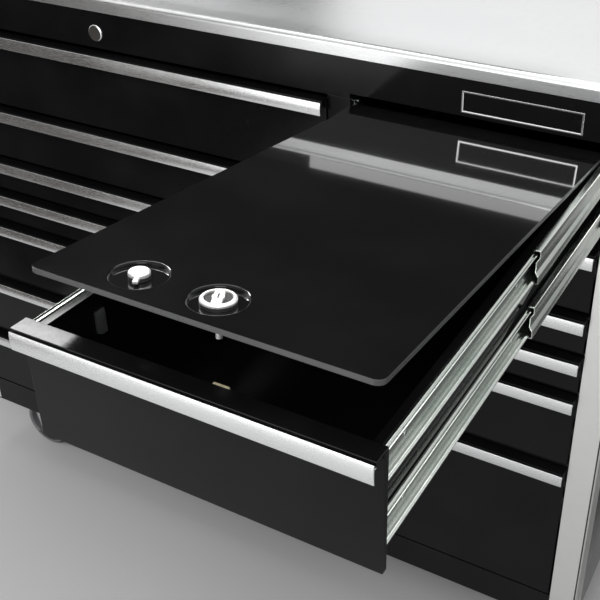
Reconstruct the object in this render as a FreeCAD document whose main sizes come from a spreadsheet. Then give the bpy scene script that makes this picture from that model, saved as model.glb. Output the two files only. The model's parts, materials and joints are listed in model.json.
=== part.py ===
# Rolling tool cabinet: two banks of drawers side by side under one steel worktop, on four casters.
# Millimetres. X runs to the right, Y from the front to the back, Z up from the floor.
# The top drawer of the narrow bank stands drawn out, with its hinged lid raised.
import FreeCAD, Part
import os

import Sketcher
from FreeCAD import Placement, Rotation, Vector

document = FreeCAD.newDocument("rolling_tool_cabinet")
sizes = document.addObject("Spreadsheet::Sheet", "Sizes")
places = document.addObject("Spreadsheet::Sheet", "Places")
rows = {sizes: 0, places: 0}


def fill(sheet, alias, content, meaning):
    rows[sheet] += 1
    row = rows[sheet]
    sheet.set(f"A{row}", meaning)
    sheet.set(f"B{row}", content)
    sheet.setAlias(f"B{row}", alias)
    return f"{sheet.Name}.{alias}"


def size(alias, value, meaning):
    return fill(sizes, alias, str(value), meaning)


def place(alias, formula, meaning):
    return fill(places, alias, f"={formula}", meaning)


# Cabinet body
body_depth = size("body_depth", 762, "front face plane to the rear of the back panel")
shell_sheet = size("shell_sheet", 1.5, "sheet of the cabinet shell")
base_sheet = size("base_sheet", 3, "plate that the body stands on")
post_width = size("post_width", 47, "bright corner post, across the front")
post_wrap = size("post_wrap", 55, "corner post, along the side")
post_wall = size("post_wall", 3, "wall of the corner post")
groove_width = size("groove_width", 5, "groove at the post's corner")
groove_depth = size("groove_depth", 2, "groove at the post's corner")
stile_width = size("stile_width", 39, "divider between the two banks")
rail_height = size("rail_height", 62, "bottom rail")
rail_gap = size("rail_gap", 3, "gap over the bottom rail")
header_height = size("header_height", 65, "header over the drawers")
return_depth = size("return_depth", 20, "folded return of the header and the rail")
worktop_thick = size("worktop_thick", 25, "worktop")
worktop_nose = size("worktop_nose", 9, "rounding of the worktop's upper edges")
worktop_reach = size("worktop_reach", 2, "worktop in front of the face plane")

# Drawer fronts
module = size("module", 38.1, "height step of the drawers")
wide_front = size("wide_front", 920, "front of the wide bank")
narrow_front = size("narrow_front", 408, "front of the narrow bank")
front_gap = size("front_gap", 7.5, "gap over each front")
side_gap = size("side_gap", 3.2, "gap beside each front")
front_thick = size("front_thick", 8, "folded front")
front_sheet = size("front_sheet", 1.5, "sheet of the front's upper flange")
hook_drop = size("hook_drop", 6.5, "downturn that carries the pull")
travel = size("travel", 684, "full travel of a drawer")

# Extruded pulls
pull_reach = size("pull_reach", 18.6, "pull in front of the face plane")
pull_inset = size("pull_inset", 1, "pull short of the front's edge")
lip_height = size("lip_height", 21.5, "height of the pull's lip")
lip_wall = size("lip_wall", 2.4, "wall of the lip")
lip_bulge = size("lip_bulge", 1, "crown of the lip's face")
lip_radius = size("lip_radius", 58.3, "radius of the lip's face")
pull_groove = size("pull_groove", 0.8, "groove between the lip and the downturn")
pull_web = size("pull_web", 2, "web and rear leg of the pull")
ledge_rise = size("ledge_rise", 24, "ledge above the lip's lower edge")
hook_reach = size("hook_reach", 14.4, "downturn in front of the face plane")
clip_play = size("clip_play", 0.5, "pull's rear leg under the upper flange")

# Drawer boxes
box_back = size("box_back", 690, "face plane to the box's rear, drawer shut")
drawer_sheet = size("drawer_sheet", 1.2, "sheet of the drawer box")
floor_lift = size("floor_lift", 7, "box floor above the front's lower edge")
rim_drop = size("rim_drop", 7.5, "box rim under the ledge")
rim_width = size("rim_width", 10, "folded rim of the box")

# Ball-bearing slides
slide_space = size("slide_space", 12.7, "room for a slide beside the box")
slide_sheet = size("slide_sheet", 1.2, "sheet of a slide member")
slide_pitch = size("slide_pitch", 76.2, "second slide under the first")
slide_drop = size("slide_drop", 24, "slide's middle under the ledge")
slide_play = size("slide_play", 0.3, "running clearance at the ball races")
web_play = size("web_play", 0.1, "clearance between the webs")
drawer_member = size("drawer_member", 36, "height of the drawer member")
middle_member = size("middle_member", 45, "height of the middle member")
cabinet_member = size("cabinet_member", 53, "height of the cabinet member")
drawer_flange = size("drawer_flange", 8.5, "flange of the drawer member")
middle_open = size("middle_open", 2.5, "middle member off the box")
cabinet_open = size("cabinet_open", 3.5, "cabinet member off the box")
race_width = size("race_width", 5, "width of a ball race")
drawer_member_start = size("drawer_member_start", 10, "drawer member behind the face plane")
middle_start = size("middle_start", 14, "middle member behind the face plane")
cabinet_start = size("cabinet_start", 12, "cabinet member behind the face plane")
cabinet_member_length = size("cabinet_member_length", 700, "cabinet member")
middle_length = size("middle_length", 676, "middle member")
drawer_member_length = size("drawer_member_length", 678, "drawer member")
middle_share = size("middle_share", 0.455, "middle member's share of the drawer's travel")

# Lid over the top drawer of the narrow bank
lid_tilt = size("lid_tilt", 5.1, "lid's angle over the open drawer, degrees")
lid_flange = size("lid_flange", 6, "depth of the lid's folded edge")
lid_sheet = size("lid_sheet", 1.5, "sheet of the lid")
lid_corner = size("lid_corner", 10, "radius of the lid's corners")
lid_front_gap = size("lid_front_gap", 2, "gap between the lid and the drawer's front")
lid_side_gap = size("lid_side_gap", 0.5, "lid inside the box's side")
lid_seat = size("lid_seat", 0.3, "shut lid over the rim")
lid_pass = size("lid_pass", 0.8, "lid's least clearance under the header")
hinge_back = size("hinge_back", 3.6, "hinge pin behind the box")
hinge_rise = size("hinge_rise", 1, "hinge pin above the rim")
knuckle_radius = size("knuckle_radius", 3.2, "hinge knuckle")
hinge_pin = size("hinge_pin", 1.5, "radius of the hinge pin")
pin_play = size("pin_play", 0.05, "radial clearance on a pin or spindle")
knuckle_long = size("knuckle_long", 70, "length of a knuckle")
knuckle_gap = size("knuckle_gap", 0.5, "gap between knuckles")
leaf_drop = size("leaf_drop", 22, "hinge leaf under the pin")
lock_back = size("lock_back", 44, "lock and knob behind the lid's front edge")
knob_offset = size("knob_offset", 93, "knob to the left of the lock")
dish_radius = size("dish_radius", 28.5, "pressed dish round the lock and the knob")
dish_depth = size("dish_depth", 4.5, "depth of a dish")
spindle_radius = size("spindle_radius", 8, "spindle of the lock and the knob")
lock_radius = size("lock_radius", 18, "head of the lid lock")
lock_head = size("lock_head", 7, "height of the lock's head")
lock_recess = size("lock_recess", 14, "recess in the lock's head")
knob_radius = size("knob_radius", 11, "turning knob")
knob_head = size("knob_head", 9, "height of the turning knob")
collar_step = size("collar_step", 2.5, "collar wider than its spindle")
collar_thick = size("collar_thick", 4, "collar under the dish")
stem_radius = size("stem_radius", 5, "lock's stem under the collar")
stem_screw = size("stem_screw", 3.5, "radius of the screw at the stem's end")
cam_drop = size("cam_drop", 22, "cam under the dish")
cam_reach = size("cam_reach", 39, "cam from the spindle's axis")
cam_width = size("cam_width", 10, "cam")
cam_thick = size("cam_thick", 2.5, "cam")
cam_angle = size("cam_angle", 150, "cam's angle from the right, unlocked, degrees")
screw_drop = size("screw_drop", 35, "end of the stem's screw under the dish")
strike_offset = size("strike_offset", 22, "strike bracket to the right of the lock")
strike_width = size("strike_width", 18, "strike bracket")
strike_reach = size("strike_reach", 16, "strike bracket behind the front")
strike_drop = size("strike_drop", 5, "strike bracket under the rim")
strike_lip = size("strike_lip", 15, "downturned lip of the strike bracket")
strike_slot = size("strike_slot", 5, "slot between the strike's two prongs")
strike_thick = size("strike_thick", 2, "strike bracket")

# Central lock in the header
plug_radius = size("plug_radius", 15, "collar of the central lock")
plug_collar = size("plug_collar", 3, "collar proud of the header")
barrel_radius = size("barrel_radius", 9, "barrel of the central lock")
barrel_long = size("barrel_long", 24, "barrel behind the header's face")
plug_height = size("plug_height", 27, "lock above the header's lower edge")

# Casters
caster_height = size("caster_height", 162, "floor to the body's base")
wheel_radius = size("wheel_radius", 63.5, "wheel")
wheel_width = size("wheel_width", 50, "wheel")
tread_bevel = size("tread_bevel", 5, "shoulder of the tread")
tread_thick = size("tread_thick", 13, "tread and rim")
hub_radius = size("hub_radius", 20, "hub")
hub_set = size("hub_set", 2, "hub and rim edges inside the tread")
web_set = size("web_set", 14, "wheel's web inside the tread")
axle_radius = size("axle_radius", 6, "axle bolt")
axle_head = size("axle_head", 10, "radius of the axle's heads")
axle_head_thick = size("axle_head_thick", 5, "axle's heads")
fork_gap = size("fork_gap", 2, "wheel to fork leg")
fork_sheet = size("fork_sheet", 4, "fork leg and plate")
fork_top = size("fork_top", 64, "fork's width at its crown")
fork_boss = size("fork_boss", 17, "radius of the leg's end")
fork_end = size("fork_end", 16, "half width of the leg beside the axle")
fork_shoulder = size("fork_shoulder", 12, "straight stretch under the crown")
crown_gap = size("crown_gap", 8, "wheel to crown")
caster_trail = size("caster_trail", 32, "swivel caster's axle behind its kingpin")
race_radius = size("race_radius", 27, "swivel race")
kingpin_radius = size("kingpin_radius", 8, "kingpin")
kingpin_head = size("kingpin_head", 12, "kingpin's head")
kingpin_head_thick = size("kingpin_head_thick", 3, "kingpin's head")
swivel_play = size("swivel_play", 0.3, "race under the caster's plate")
plate_long = size("plate_long", 114, "caster plate along X")
plate_wide = size("plate_wide", 102, "caster plate along Y")
caster_inset_x = size("caster_inset_x", 110, "caster plate's middle inside the body's side")
caster_inset_y = size("caster_inset_y", 90, "caster plate's middle inside the body's front and rear")

WIDE_ROWS = (4, 3, 2, 2, 4, 4, 4)
NARROW_ROWS = (4, 3, 2, 2, 4, 8)

# Main levels and planes
body_width = place(
    "body_width",
    f"2 * {post_width} + {stile_width} + {wide_front} + {narrow_front} + 4 * {side_gap}",
    "whole body",
)
face = place("face", f"({travel} + {pull_reach} - {body_depth}) / 2", "face plane, box centred on the origin")
rear = place("rear", f"{face} + {body_depth}", "rear of the back panel")
inner_depth = place("inner_depth", f"{body_depth} - {shell_sheet}", "face plane to the back panel")
body_base = place("body_base", f"{caster_height} + {base_sheet}", "top of the base plate")
rail_top = place("rail_top", f"{body_base} + {rail_height}", "top of the bottom rail")
stack_base = place("stack_base", f"{rail_top} + {rail_gap}", "lower edge of the lowest fronts")
stack_top = place("stack_top", f"{stack_base} + {sum(WIDE_ROWS)} * {module}", "header's lower edge")
header_top = place("header_top", f"{stack_top} + {header_height}", "underside of the worktop")
left_edge = place("left_edge", f"-{body_width} / 2", "body's left side")
right_edge = place("right_edge", f"{body_width} / 2", "body's right side")
wide_left = place("wide_left", f"{left_edge} + {post_width}", "wide opening, left edge")
wide_right = place("wide_right", f"{wide_left} + {wide_front} + 2 * {side_gap}", "wide opening, right edge")
narrow_left = place("narrow_left", f"{wide_right} + {stile_width}", "narrow opening, left edge")
narrow_right = place("narrow_right", f"{right_edge} - {post_width}", "narrow opening, right edge")
lid_length = place(
    "lid_length",
    f"{box_back} + {hinge_back} - {front_thick} - {lid_front_gap}",
    "hinge pin to the lid's front edge",
)
lid_top = place("lid_top", f"{lid_seat} + {lid_flange} - {hinge_rise}", "lid's upper side above the pin")
pin_behind_face = place(
    "pin_behind_face", f"{box_back} + {hinge_back} - {travel}", "hinge pin behind the face, drawer open"
)
# The lid comes down as its drawer goes in, and stands highest under the header half way in.
lid_crest = place(
    "lid_crest",
    f"({travel} + {pin_behind_face}) ^ 2 / (4 * {travel}) * sin({lid_tilt} * 1 deg)",
    "lid's highest pass above its shut level",
)
header_notch = place(
    "header_notch",
    f"{lid_crest} + {lid_seat} + {lid_flange} - {rim_drop} + {lid_pass} - {front_gap}",
    "header's lower edge raised over the lid",
)
axle_height = place("axle_height", f"{wheel_radius} * 1", "axle above the floor")
crown_base = place("crown_base", f"2 * {wheel_radius} + {crown_gap}", "underside of a fork's crown")
plate_base = place("plate_base", f"{caster_height} - {fork_sheet}", "underside of a caster's plate")
fork_width = place("fork_width", f"{wheel_width} + 2 * {fork_gap} + 2 * {fork_sheet}", "fork across its legs")
document.recompute()

TURNS = {
    "XY": Rotation(),
    "XZ": Rotation(Vector(1, 0, 0), 90),
    "YZ": Rotation(Vector(1, 1, 1), 120),
}
ALONG = {"X": Vector(1, 0, 0), "Y": Vector(0, 1, 0), "Z": Vector(0, 0, 1)}
HALF_TURN = Rotation(Vector(0, 1, 0), 180)
nodes = []


def number(formula):
    return float(sizes.evalExpression(formula))


def bind(item, property_name, formula):
    item.setExpression(property_name, formula)


def move(item, at):
    for axis, formula in zip("xyz", at):
        if formula != "0":
            bind(item, f"Placement.Base.{axis}", formula)
    return item


def keep(name, item):
    item.Label = name
    nodes.append((name, item))
    return item


def draw(sketch, loops):
    """Closed loops of (horizontal, vertical, radius) corners; a radius bows the edge that follows, to its right."""
    for loop in loops:
        corners = [(number(corner[0]), number(corner[1])) for corner in loop]
        starts = []
        for index, corner in enumerate(loop):
            begin = Vector(*corners[index], 0)
            end = Vector(*corners[(index + 1) % len(loop)], 0)
            if len(corner) == 2:
                starts.append((sketch.addGeometry(Part.LineSegment(begin, end), False), 1, 2))
                continue
            radius = number(corner[2])
            half = (end - begin) * 0.5
            sag = radius - (radius ** 2 - half.Length ** 2) ** 0.5
            across = Vector(half.y, -half.x, 0).normalize()
            edge = sketch.addGeometry(Part.Arc(begin, begin + half + across * sag, end), False)
            ahead = sketch.getPoint(edge, 1).distanceToPoint(begin) < sketch.getPoint(edge, 2).distanceToPoint(begin)
            starts.append((edge, 1, 2) if ahead else (edge, 2, 1))
            bound = sketch.addConstraint(Sketcher.Constraint("Radius", edge, radius))
            bind(sketch, f"Constraints[{bound}]", corner[2])
        for index, (edge, _, end_point) in enumerate(starts):
            following, start_point, _ = starts[(index + 1) % len(starts)]
            sketch.addConstraint(Sketcher.Constraint("Coincident", edge, end_point, following, start_point))
        for index, corner in enumerate(loop):
            edge, start_point, _ = starts[index]
            for kind, formula, axis, value in (
                ("DistanceX", corner[0], -2, corners[index][0]),
                ("DistanceY", corner[1], -1, corners[index][1]),
            ):
                if formula == "0":
                    sketch.addConstraint(Sketcher.Constraint("PointOnObject", edge, start_point, axis))
                    continue
                bound = sketch.addConstraint(Sketcher.Constraint(kind, -1, 1, edge, start_point, value))
                bind(sketch, f"Constraints[{bound}]", formula)


def outline(name, plane, *loops):
    sketch = document.addObject("Sketcher::SketchObject", name)
    sketch.Placement = Placement(Vector(), TURNS[plane])
    draw(sketch, loops)
    return sketch


def extrude(name, profile, axis, length, at=("0", "0", "0"), turn=None):
    item = document.addObject("Part::Extrusion", name)
    item.Base = profile
    item.DirMode = "Custom"
    item.Dir = ALONG[axis]
    item.Solid = True
    bind(item, "LengthFwd", length)
    if turn:
        item.Placement = Placement(Vector(), turn)
    return move(item, at)


def block(name, extents, at):
    item = document.addObject("Part::Box", name)
    for side, formula in zip(("Length", "Width", "Height"), extents):
        bind(item, side, formula)
    return move(item, at)


def rod(name, axis, radius, length, at=("0", "0", "0")):
    item = document.addObject("Part::Cylinder", name)
    item.Placement = Placement(Vector(), Rotation(Vector(0, 0, 1), ALONG[axis]))
    bind(item, "Radius", radius)
    bind(item, "Height", length)
    return move(item, at)


def fuse(name, *items):
    item = document.addObject("Part::MultiFuse", name)
    item.Shapes = list(items)
    return item


def cut(name, base, tool):
    item = document.addObject("Part::Cut", name)
    item.Base = base
    item.Tool = tool
    return item


def mirror(name, source):
    item = document.addObject("Part::Mirroring", name)
    item.Source = source
    item.Normal = ALONG["X"]
    return item


def group(name, items, at=("0", "0", "0")):
    item = document.addObject("Part::Compound", name)
    item.Links = list(items)
    return move(item, at)


def turned(name, axis, section, at=("0", "0", "0")):
    """Body of revolution; the section's corners are (along the axis, radius)."""
    body = document.addObject("PartDesign::Body", name)
    sketch = document.addObject("Sketcher::SketchObject", name + "_section")
    body.addObject(sketch)
    draw(sketch, (section,))
    revolution = document.addObject("PartDesign::Revolution", name + "_turned")
    body.addObject(revolution)
    revolution.Profile = sketch
    revolution.ReferenceAxis = (sketch, ["H_Axis"])
    revolution.Angle = 360
    body.Tip = revolution
    body.Placement = Placement(Vector(), Rotation(Vector(1, 0, 0), ALONG[axis]))
    return move(body, at)


# Body shell: hollow side walls and divider, back panel, base with its rail, header, corner posts
wall_height = f"{header_top} - {body_base}"
side_profile = outline(
    "side_profile",
    "XY",
    (
        (left_edge, f"{face} + {post_wrap}"),
        (f"{left_edge} + {post_wall}", f"{face} + {post_wrap}"),
        (f"{left_edge} + {post_wall}", f"{face} + {post_wall}"),
        (wide_left, f"{face} + {post_wall}"),
        (wide_left, f"{face} + {inner_depth}"),
        (left_edge, f"{face} + {inner_depth}"),
    ),
    (
        (f"{left_edge} + {shell_sheet}", f"{face} + {post_wrap} + {shell_sheet}"),
        (f"{left_edge} + {post_wall} + {shell_sheet}", f"{face} + {post_wrap} + {shell_sheet}"),
        (f"{left_edge} + {post_wall} + {shell_sheet}", f"{face} + {post_wall} + {shell_sheet}"),
        (f"{wide_left} - {shell_sheet}", f"{face} + {post_wall} + {shell_sheet}"),
        (f"{wide_left} - {shell_sheet}", f"{face} + {inner_depth} - {shell_sheet}"),
        (f"{left_edge} + {shell_sheet}", f"{face} + {inner_depth} - {shell_sheet}"),
    ),
)
side_left = keep("side_panel_left", extrude("side_left", side_profile, "Z", wall_height, ("0", "0", body_base)))
keep("side_panel_right", mirror("side_right", side_left))

divider_profile = outline(
    "divider_profile",
    "XY",
    (
        (wide_right, face),
        (narrow_left, face),
        (narrow_left, f"{face} + {inner_depth}"),
        (wide_right, f"{face} + {inner_depth}"),
    ),
    (
        (f"{wide_right} + {shell_sheet}", f"{face} + {shell_sheet}"),
        (f"{narrow_left} - {shell_sheet}", f"{face} + {shell_sheet}"),
        (f"{narrow_left} - {shell_sheet}", f"{face} + {inner_depth} - {shell_sheet}"),
        (f"{wide_right} + {shell_sheet}", f"{face} + {inner_depth} - {shell_sheet}"),
    ),
)
divider_tube = extrude("divider_tube", divider_profile, "Z", wall_height, ("0", "0", body_base))
divider_seats = fuse(
    "divider_seats",
    block(
        "rail_seat",
        (f"{stile_width} + 2 * {shell_sheet}", return_depth, rail_height),
        (f"{wide_right} - {shell_sheet}", face, body_base),
    ),
    block(
        "header_seat",
        (f"{stile_width} + 2 * {shell_sheet}", return_depth, header_height),
        (f"{wide_right} - {shell_sheet}", face, stack_top),
    ),
)
keep("centre_divider", cut("divider", divider_tube, divider_seats))
keep(
    "back_panel",
    block("back", (body_width, shell_sheet, wall_height), (left_edge, f"{face} + {inner_depth}", body_base)),
)


def channel(name, height, start, length, base):
    profile = outline(
        name + "_profile",
        "YZ",
        (
            ("0", "0"),
            (return_depth, "0"),
            (return_depth, shell_sheet),
            (shell_sheet, shell_sheet),
            (shell_sheet, f"{height} - {shell_sheet}"),
            (return_depth, f"{height} - {shell_sheet}"),
            (return_depth, height),
            ("0", height),
        ),
    )
    return extrude(name, profile, "X", length, (start, face, base))


rail = channel("rail", rail_height, wide_left, f"{narrow_right} - {wide_left}", body_base)
base_plate = block("base_plate", (body_width, body_depth, base_sheet), (left_edge, face, caster_height))
keep("base_pan", fuse("base", base_plate, rail))

plug_x = f"({wide_left} + {wide_right}) / 2"
plug_z = f"{stack_top} + {plug_height}"
header_wide = channel("header_wide", header_height, wide_left, f"{narrow_left} - {wide_left}", stack_top)
header_narrow = channel(
    "header_narrow",
    f"({header_height} - {header_notch})",
    narrow_left,
    f"{narrow_right} - {narrow_left}",
    f"{stack_top} + {header_notch}",
)
plug_bore = rod("plug_bore", "Y", f"{barrel_radius} + {pin_play}", return_depth, (plug_x, face, plug_z))
keep("front_header", cut("header", fuse("header_sheet", header_wide, header_narrow), plug_bore))

post_profile = outline(
    "post_profile",
    "XY",
    (
        (left_edge, face),
        (wide_left, face),
        (wide_left, f"{face} + {post_wall}"),
        (f"{left_edge} + {post_wall}", f"{face} + {post_wall}"),
        (f"{left_edge} + {post_wall}", f"{face} + {post_wrap}"),
        (left_edge, f"{face} + {post_wrap}"),
        (left_edge, f"{face} + {post_wall} + {groove_width}"),
        (f"{left_edge} + {groove_depth}", f"{face} + {post_wall} + {groove_width}"),
        (f"{left_edge} + {groove_depth}", f"{face} + {post_wall}"),
        (left_edge, f"{face} + {post_wall}"),
    ),
)
post = extrude("post", post_profile, "Z", wall_height, ("0", "0", body_base))
keep("corner_posts", group("posts", (post, mirror("post_mirrored", post))))

# Worktop: a folded pan with rounded edges
top = document.addObject("PartDesign::Body", "top")
top_sketch = document.addObject("Sketcher::SketchObject", "top_outline")
top.addObject(top_sketch)
draw(
    top_sketch,
    (
        (
            (left_edge, f"{face} - {worktop_reach}"),
            (right_edge, f"{face} - {worktop_reach}"),
            (right_edge, rear),
            (left_edge, rear),
        ),
    ),
)
top_pad = document.addObject("PartDesign::Pad", "top_pad")
top.addObject(top_pad)
top_pad.Profile = top_sketch
bind(top_pad, "Length", worktop_thick)
document.recompute()
upper_edges = [
    f"Edge{index + 1}"
    for index, edge in enumerate(top_pad.Shape.Edges)
    if edge.BoundBox.ZMin > number(worktop_thick) - number(clip_play)
]
top_nose = document.addObject("PartDesign::Fillet", "top_nose")
top.addObject(top_nose)
top_nose.Base = (top_pad, upper_edges)
bind(top_nose, "Radius", worktop_nose)
document.recompute()
hollow_sketch = document.addObject("Sketcher::SketchObject", "top_hollow")
top.addObject(hollow_sketch)
nose_wall = f"{worktop_nose} + {shell_sheet}"
draw(
    hollow_sketch,
    (
        (
            (f"{left_edge} + {nose_wall}", f"{face} - {worktop_reach} + {nose_wall}"),
            (f"{right_edge} - {nose_wall}", f"{face} - {worktop_reach} + {nose_wall}"),
            (f"{right_edge} - {nose_wall}", f"{rear} - {nose_wall}"),
            (f"{left_edge} + {nose_wall}", f"{rear} - {nose_wall}"),
        ),
    ),
)
top_pocket = document.addObject("PartDesign::Pocket", "top_pocket")
top.addObject(top_pocket)
top_pocket.Profile = hollow_sketch
top_pocket.Reversed = True
bind(top_pocket, "Length", f"{worktop_thick} - {shell_sheet}")
top.Tip = top_pocket
keep("worktop", move(top, ("0", "0", header_top)))

# Shared sections of the slides: x runs from the box to the cabinet wall
drawer_section = outline(
    "drawer_section",
    "XZ",
    (
        ("0", f"-{drawer_member} / 2"),
        (drawer_flange, f"-{drawer_member} / 2"),
        (drawer_flange, f"{slide_sheet} - {drawer_member} / 2"),
        (slide_sheet, f"{slide_sheet} - {drawer_member} / 2"),
        (slide_sheet, f"{drawer_member} / 2 - {slide_sheet}"),
        (drawer_flange, f"{drawer_member} / 2 - {slide_sheet}"),
        (drawer_flange, f"{drawer_member} / 2"),
        ("0", f"{drawer_member} / 2"),
    ),
)


def race_section(name, height, inner_height, opening, web_outside):
    race_end = f"{opening} + {race_width}"
    web_inside = f"{web_outside} - {slide_sheet}"
    race_level = f"({inner_height} / 2 + {slide_play})"
    flange_level = f"({height} / 2 - {slide_sheet})"
    return outline(
        name,
        "XZ",
        (
            (web_outside, f"-{height} / 2"),
            (web_outside, f"{height} / 2"),
            (opening, f"{height} / 2"),
            (opening, race_level),
            (race_end, race_level),
            (race_end, flange_level),
            (web_inside, flange_level),
            (web_inside, f"-{flange_level}"),
            (race_end, f"-{flange_level}"),
            (race_end, f"-{race_level}"),
            (opening, f"-{race_level}"),
            (opening, f"-{height} / 2"),
        ),
    )


middle_web = f"({slide_space} - {slide_sheet} - {web_play})"
middle_section = race_section("middle_section", middle_member, drawer_member, middle_open, middle_web)
cabinet_section = race_section("cabinet_section", cabinet_member, middle_member, cabinet_open, slide_space)
pull_outer = f"({lip_bulge} - {pull_reach})"
pull_inner = f"({lip_wall} - {pull_reach})"
leg_front = f"({front_sheet} - {hook_reach})"
pull_section = outline(
    "pull_section",
    "YZ",
    (
        (pull_inner, f"-{ledge_rise}"),
        (pull_inner, f"-{hook_drop} - {pull_web}"),
        (f"{leg_front} + {pull_web}", f"-{hook_drop} - {pull_web}"),
        (f"{leg_front} + {pull_web}", f"-{front_sheet} - {clip_play}"),
        (leg_front, f"-{front_sheet} - {clip_play}"),
        (leg_front, f"-{hook_drop}"),
        (pull_inner, f"-{hook_drop}"),
        (pull_inner, f"{lip_height} - {ledge_rise}"),
        (pull_outer, f"{lip_height} - {ledge_rise}", lip_radius),
        (pull_outer, f"-{ledge_rise}"),
    ),
)
cabinet_members = []
sections = {}


def drawer(bank, row, count, above, opening_left, front_width, out):
    """One drawer with its pull and its slides; out is how far it stands drawn out."""
    label = f"{bank}_drawer_{row}"
    ledge = place(f"{label}_ledge", f"{stack_top} - {above} * {module} - {front_gap}", f"ledge of {label}")
    middle = f"({opening_left} + {side_gap} + {front_width} / 2)"
    half = f"({front_width} / 2 + {side_gap} - {slide_space})"
    lower_edge = f"{front_gap} - {count} * {module}"
    box_floor = f"({lower_edge} + {floor_lift})"
    front_y = f"{face} - {out}"
    if count not in sections:
        sections[count] = (
            outline(
                f"front_section_{count}",
                "YZ",
                (
                    ("0", lower_edge),
                    (front_thick, lower_edge),
                    (front_thick, "0"),
                    (f"-{hook_reach}", "0"),
                    (f"-{hook_reach}", f"-{hook_drop}"),
                    (leg_front, f"-{hook_drop}"),
                    (leg_front, f"-{front_sheet}"),
                    ("0", f"-{front_sheet}"),
                ),
            ),
            outline(
                f"back_section_{count}",
                "YZ",
                (
                    (f"{box_back} - {drawer_sheet}", box_floor),
                    (box_back, box_floor),
                    (box_back, f"-{rim_drop}"),
                    (f"{box_back} - {rim_width}", f"-{rim_drop}"),
                    (f"{box_back} - {rim_width}", f"-{rim_drop} - {drawer_sheet}"),
                    (f"{box_back} - {drawer_sheet}", f"-{rim_drop} - {drawer_sheet}"),
                ),
            ),
        )
    if (bank, count) not in sections:
        right = [
            (half, box_floor),
            (half, f"-{rim_drop}"),
            (f"{half} - {rim_width}", f"-{rim_drop}"),
            (f"{half} - {rim_width}", f"-{rim_drop} - {drawer_sheet}"),
            (f"{half} - {drawer_sheet}", f"-{rim_drop} - {drawer_sheet}"),
            (f"{half} - {drawer_sheet}", f"{box_floor} + {drawer_sheet}"),
        ]
        left = [(f"-({x})", z) for x, z in reversed(right)]
        sections[bank, count] = outline(f"box_section_{bank}_{count}", "XZ", tuple(right + left))
    front_section, back_section = sections[count]
    box_length = f"{box_back} - {front_thick}"
    front = extrude(
        f"{label}_front", front_section, "X", front_width, (f"{opening_left} + {side_gap}", front_y, ledge)
    )
    tray = extrude(
        f"{label}_tray", sections[bank, count], "Y", box_length, (middle, f"{front_y} + {front_thick}", ledge)
    )
    back = extrude(f"{label}_back", back_section, "X", f"2 * {half}", (f"{middle} - {half}", front_y, ledge))
    solids = [front, cut(f"{label}_box", tray, back), back]
    middles = []
    for level in range(2 if count >= 4 else 1):
        height = f"{ledge} - {slide_drop} - {level} * {slide_pitch}"
        for hand, turn in (("right", None), ("left", HALF_TURN)):
            side = f"{middle} + {half}" if hand == "right" else f"{middle} - {half}"
            tag = f"{label}_{hand}_{level}"
            solids.append(
                extrude(
                    f"{tag}_drawer_member",
                    drawer_section,
                    "Y",
                    drawer_member_length,
                    (side, f"{front_y} + {drawer_member_start}", height),
                    turn,
                )
            )
            middles.append(
                extrude(
                    f"{tag}_middle_member",
                    middle_section,
                    "Y",
                    middle_length,
                    (side, f"{face} - {middle_share} * {out} + {middle_start}", height),
                    turn,
                )
            )
            cabinet_members.append(
                extrude(
                    f"{tag}_cabinet_member",
                    cabinet_section,
                    "Y",
                    cabinet_member_length,
                    (side, f"{face} + {cabinet_start}", height),
                    turn,
                )
            )
    pull = extrude(
        f"{label}_extrusion",
        pull_section,
        "X",
        f"{front_width} - 2 * {pull_inset}",
        (f"{opening_left} + {side_gap} + {pull_inset}", front_y, ledge),
    )
    keep(f"{label}_pull", pull)
    keep(f"{label}_slides", group(f"{label}_middles", middles))
    return label, ledge, middle, half, solids


for bank, counts, opening_left, front_width in (
    ("left", WIDE_ROWS, wide_left, wide_front),
    ("right", NARROW_ROWS, narrow_left, narrow_front),
):
    for index, count in enumerate(counts):
        lidded = bank == "right" and index == 0
        label, ledge, middle, half, solids = drawer(
            bank, index + 1, count, sum(counts[:index]), opening_left, front_width, travel if lidded else "0"
        )
        if lidded:
            lid_ledge, lid_middle, lid_half = ledge, middle, half
            strike_top = f"-{rim_drop} - {strike_drop}"
            lip_end = f"{strike_top} - {strike_lip}"
            strike_profile = outline(
                "strike_profile",
                "YZ",
                (
                    (front_thick, lip_end),
                    (f"{front_thick} + {strike_thick}", lip_end),
                    (f"{front_thick} + {strike_thick}", f"{strike_top} - {strike_thick}"),
                    (f"{front_thick} + {strike_reach} - {strike_thick}", f"{strike_top} - {strike_thick}"),
                    (f"{front_thick} + {strike_reach} - {strike_thick}", lip_end),
                    (f"{front_thick} + {strike_reach}", lip_end),
                    (f"{front_thick} + {strike_reach}", strike_top),
                    (front_thick, strike_top),
                ),
            )
            strike_middle = f"{middle} + {strike_offset}"
            strike_sheet = extrude(
                "strike_sheet",
                strike_profile,
                "X",
                strike_width,
                (f"{strike_middle} - {strike_width} / 2", f"{face} - {travel}", ledge),
            )
            prong_slot = block(
                "prong_slot",
                (strike_slot, f"2 * {strike_thick}", strike_lip),
                (
                    f"{strike_middle} - {strike_slot} / 2",
                    f"{face} - {travel} + {front_thick} + {strike_reach} - 1.5 * {strike_thick}",
                    f"{ledge} + {lip_end} - {strike_thick}",
                ),
            )
            solids.append(cut("strike", strike_sheet, prong_slot))
        keep(label, group(f"{label}_group", solids))
keep("cabinet_slide_members", group("cabinet_slides", cabinet_members))

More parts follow.
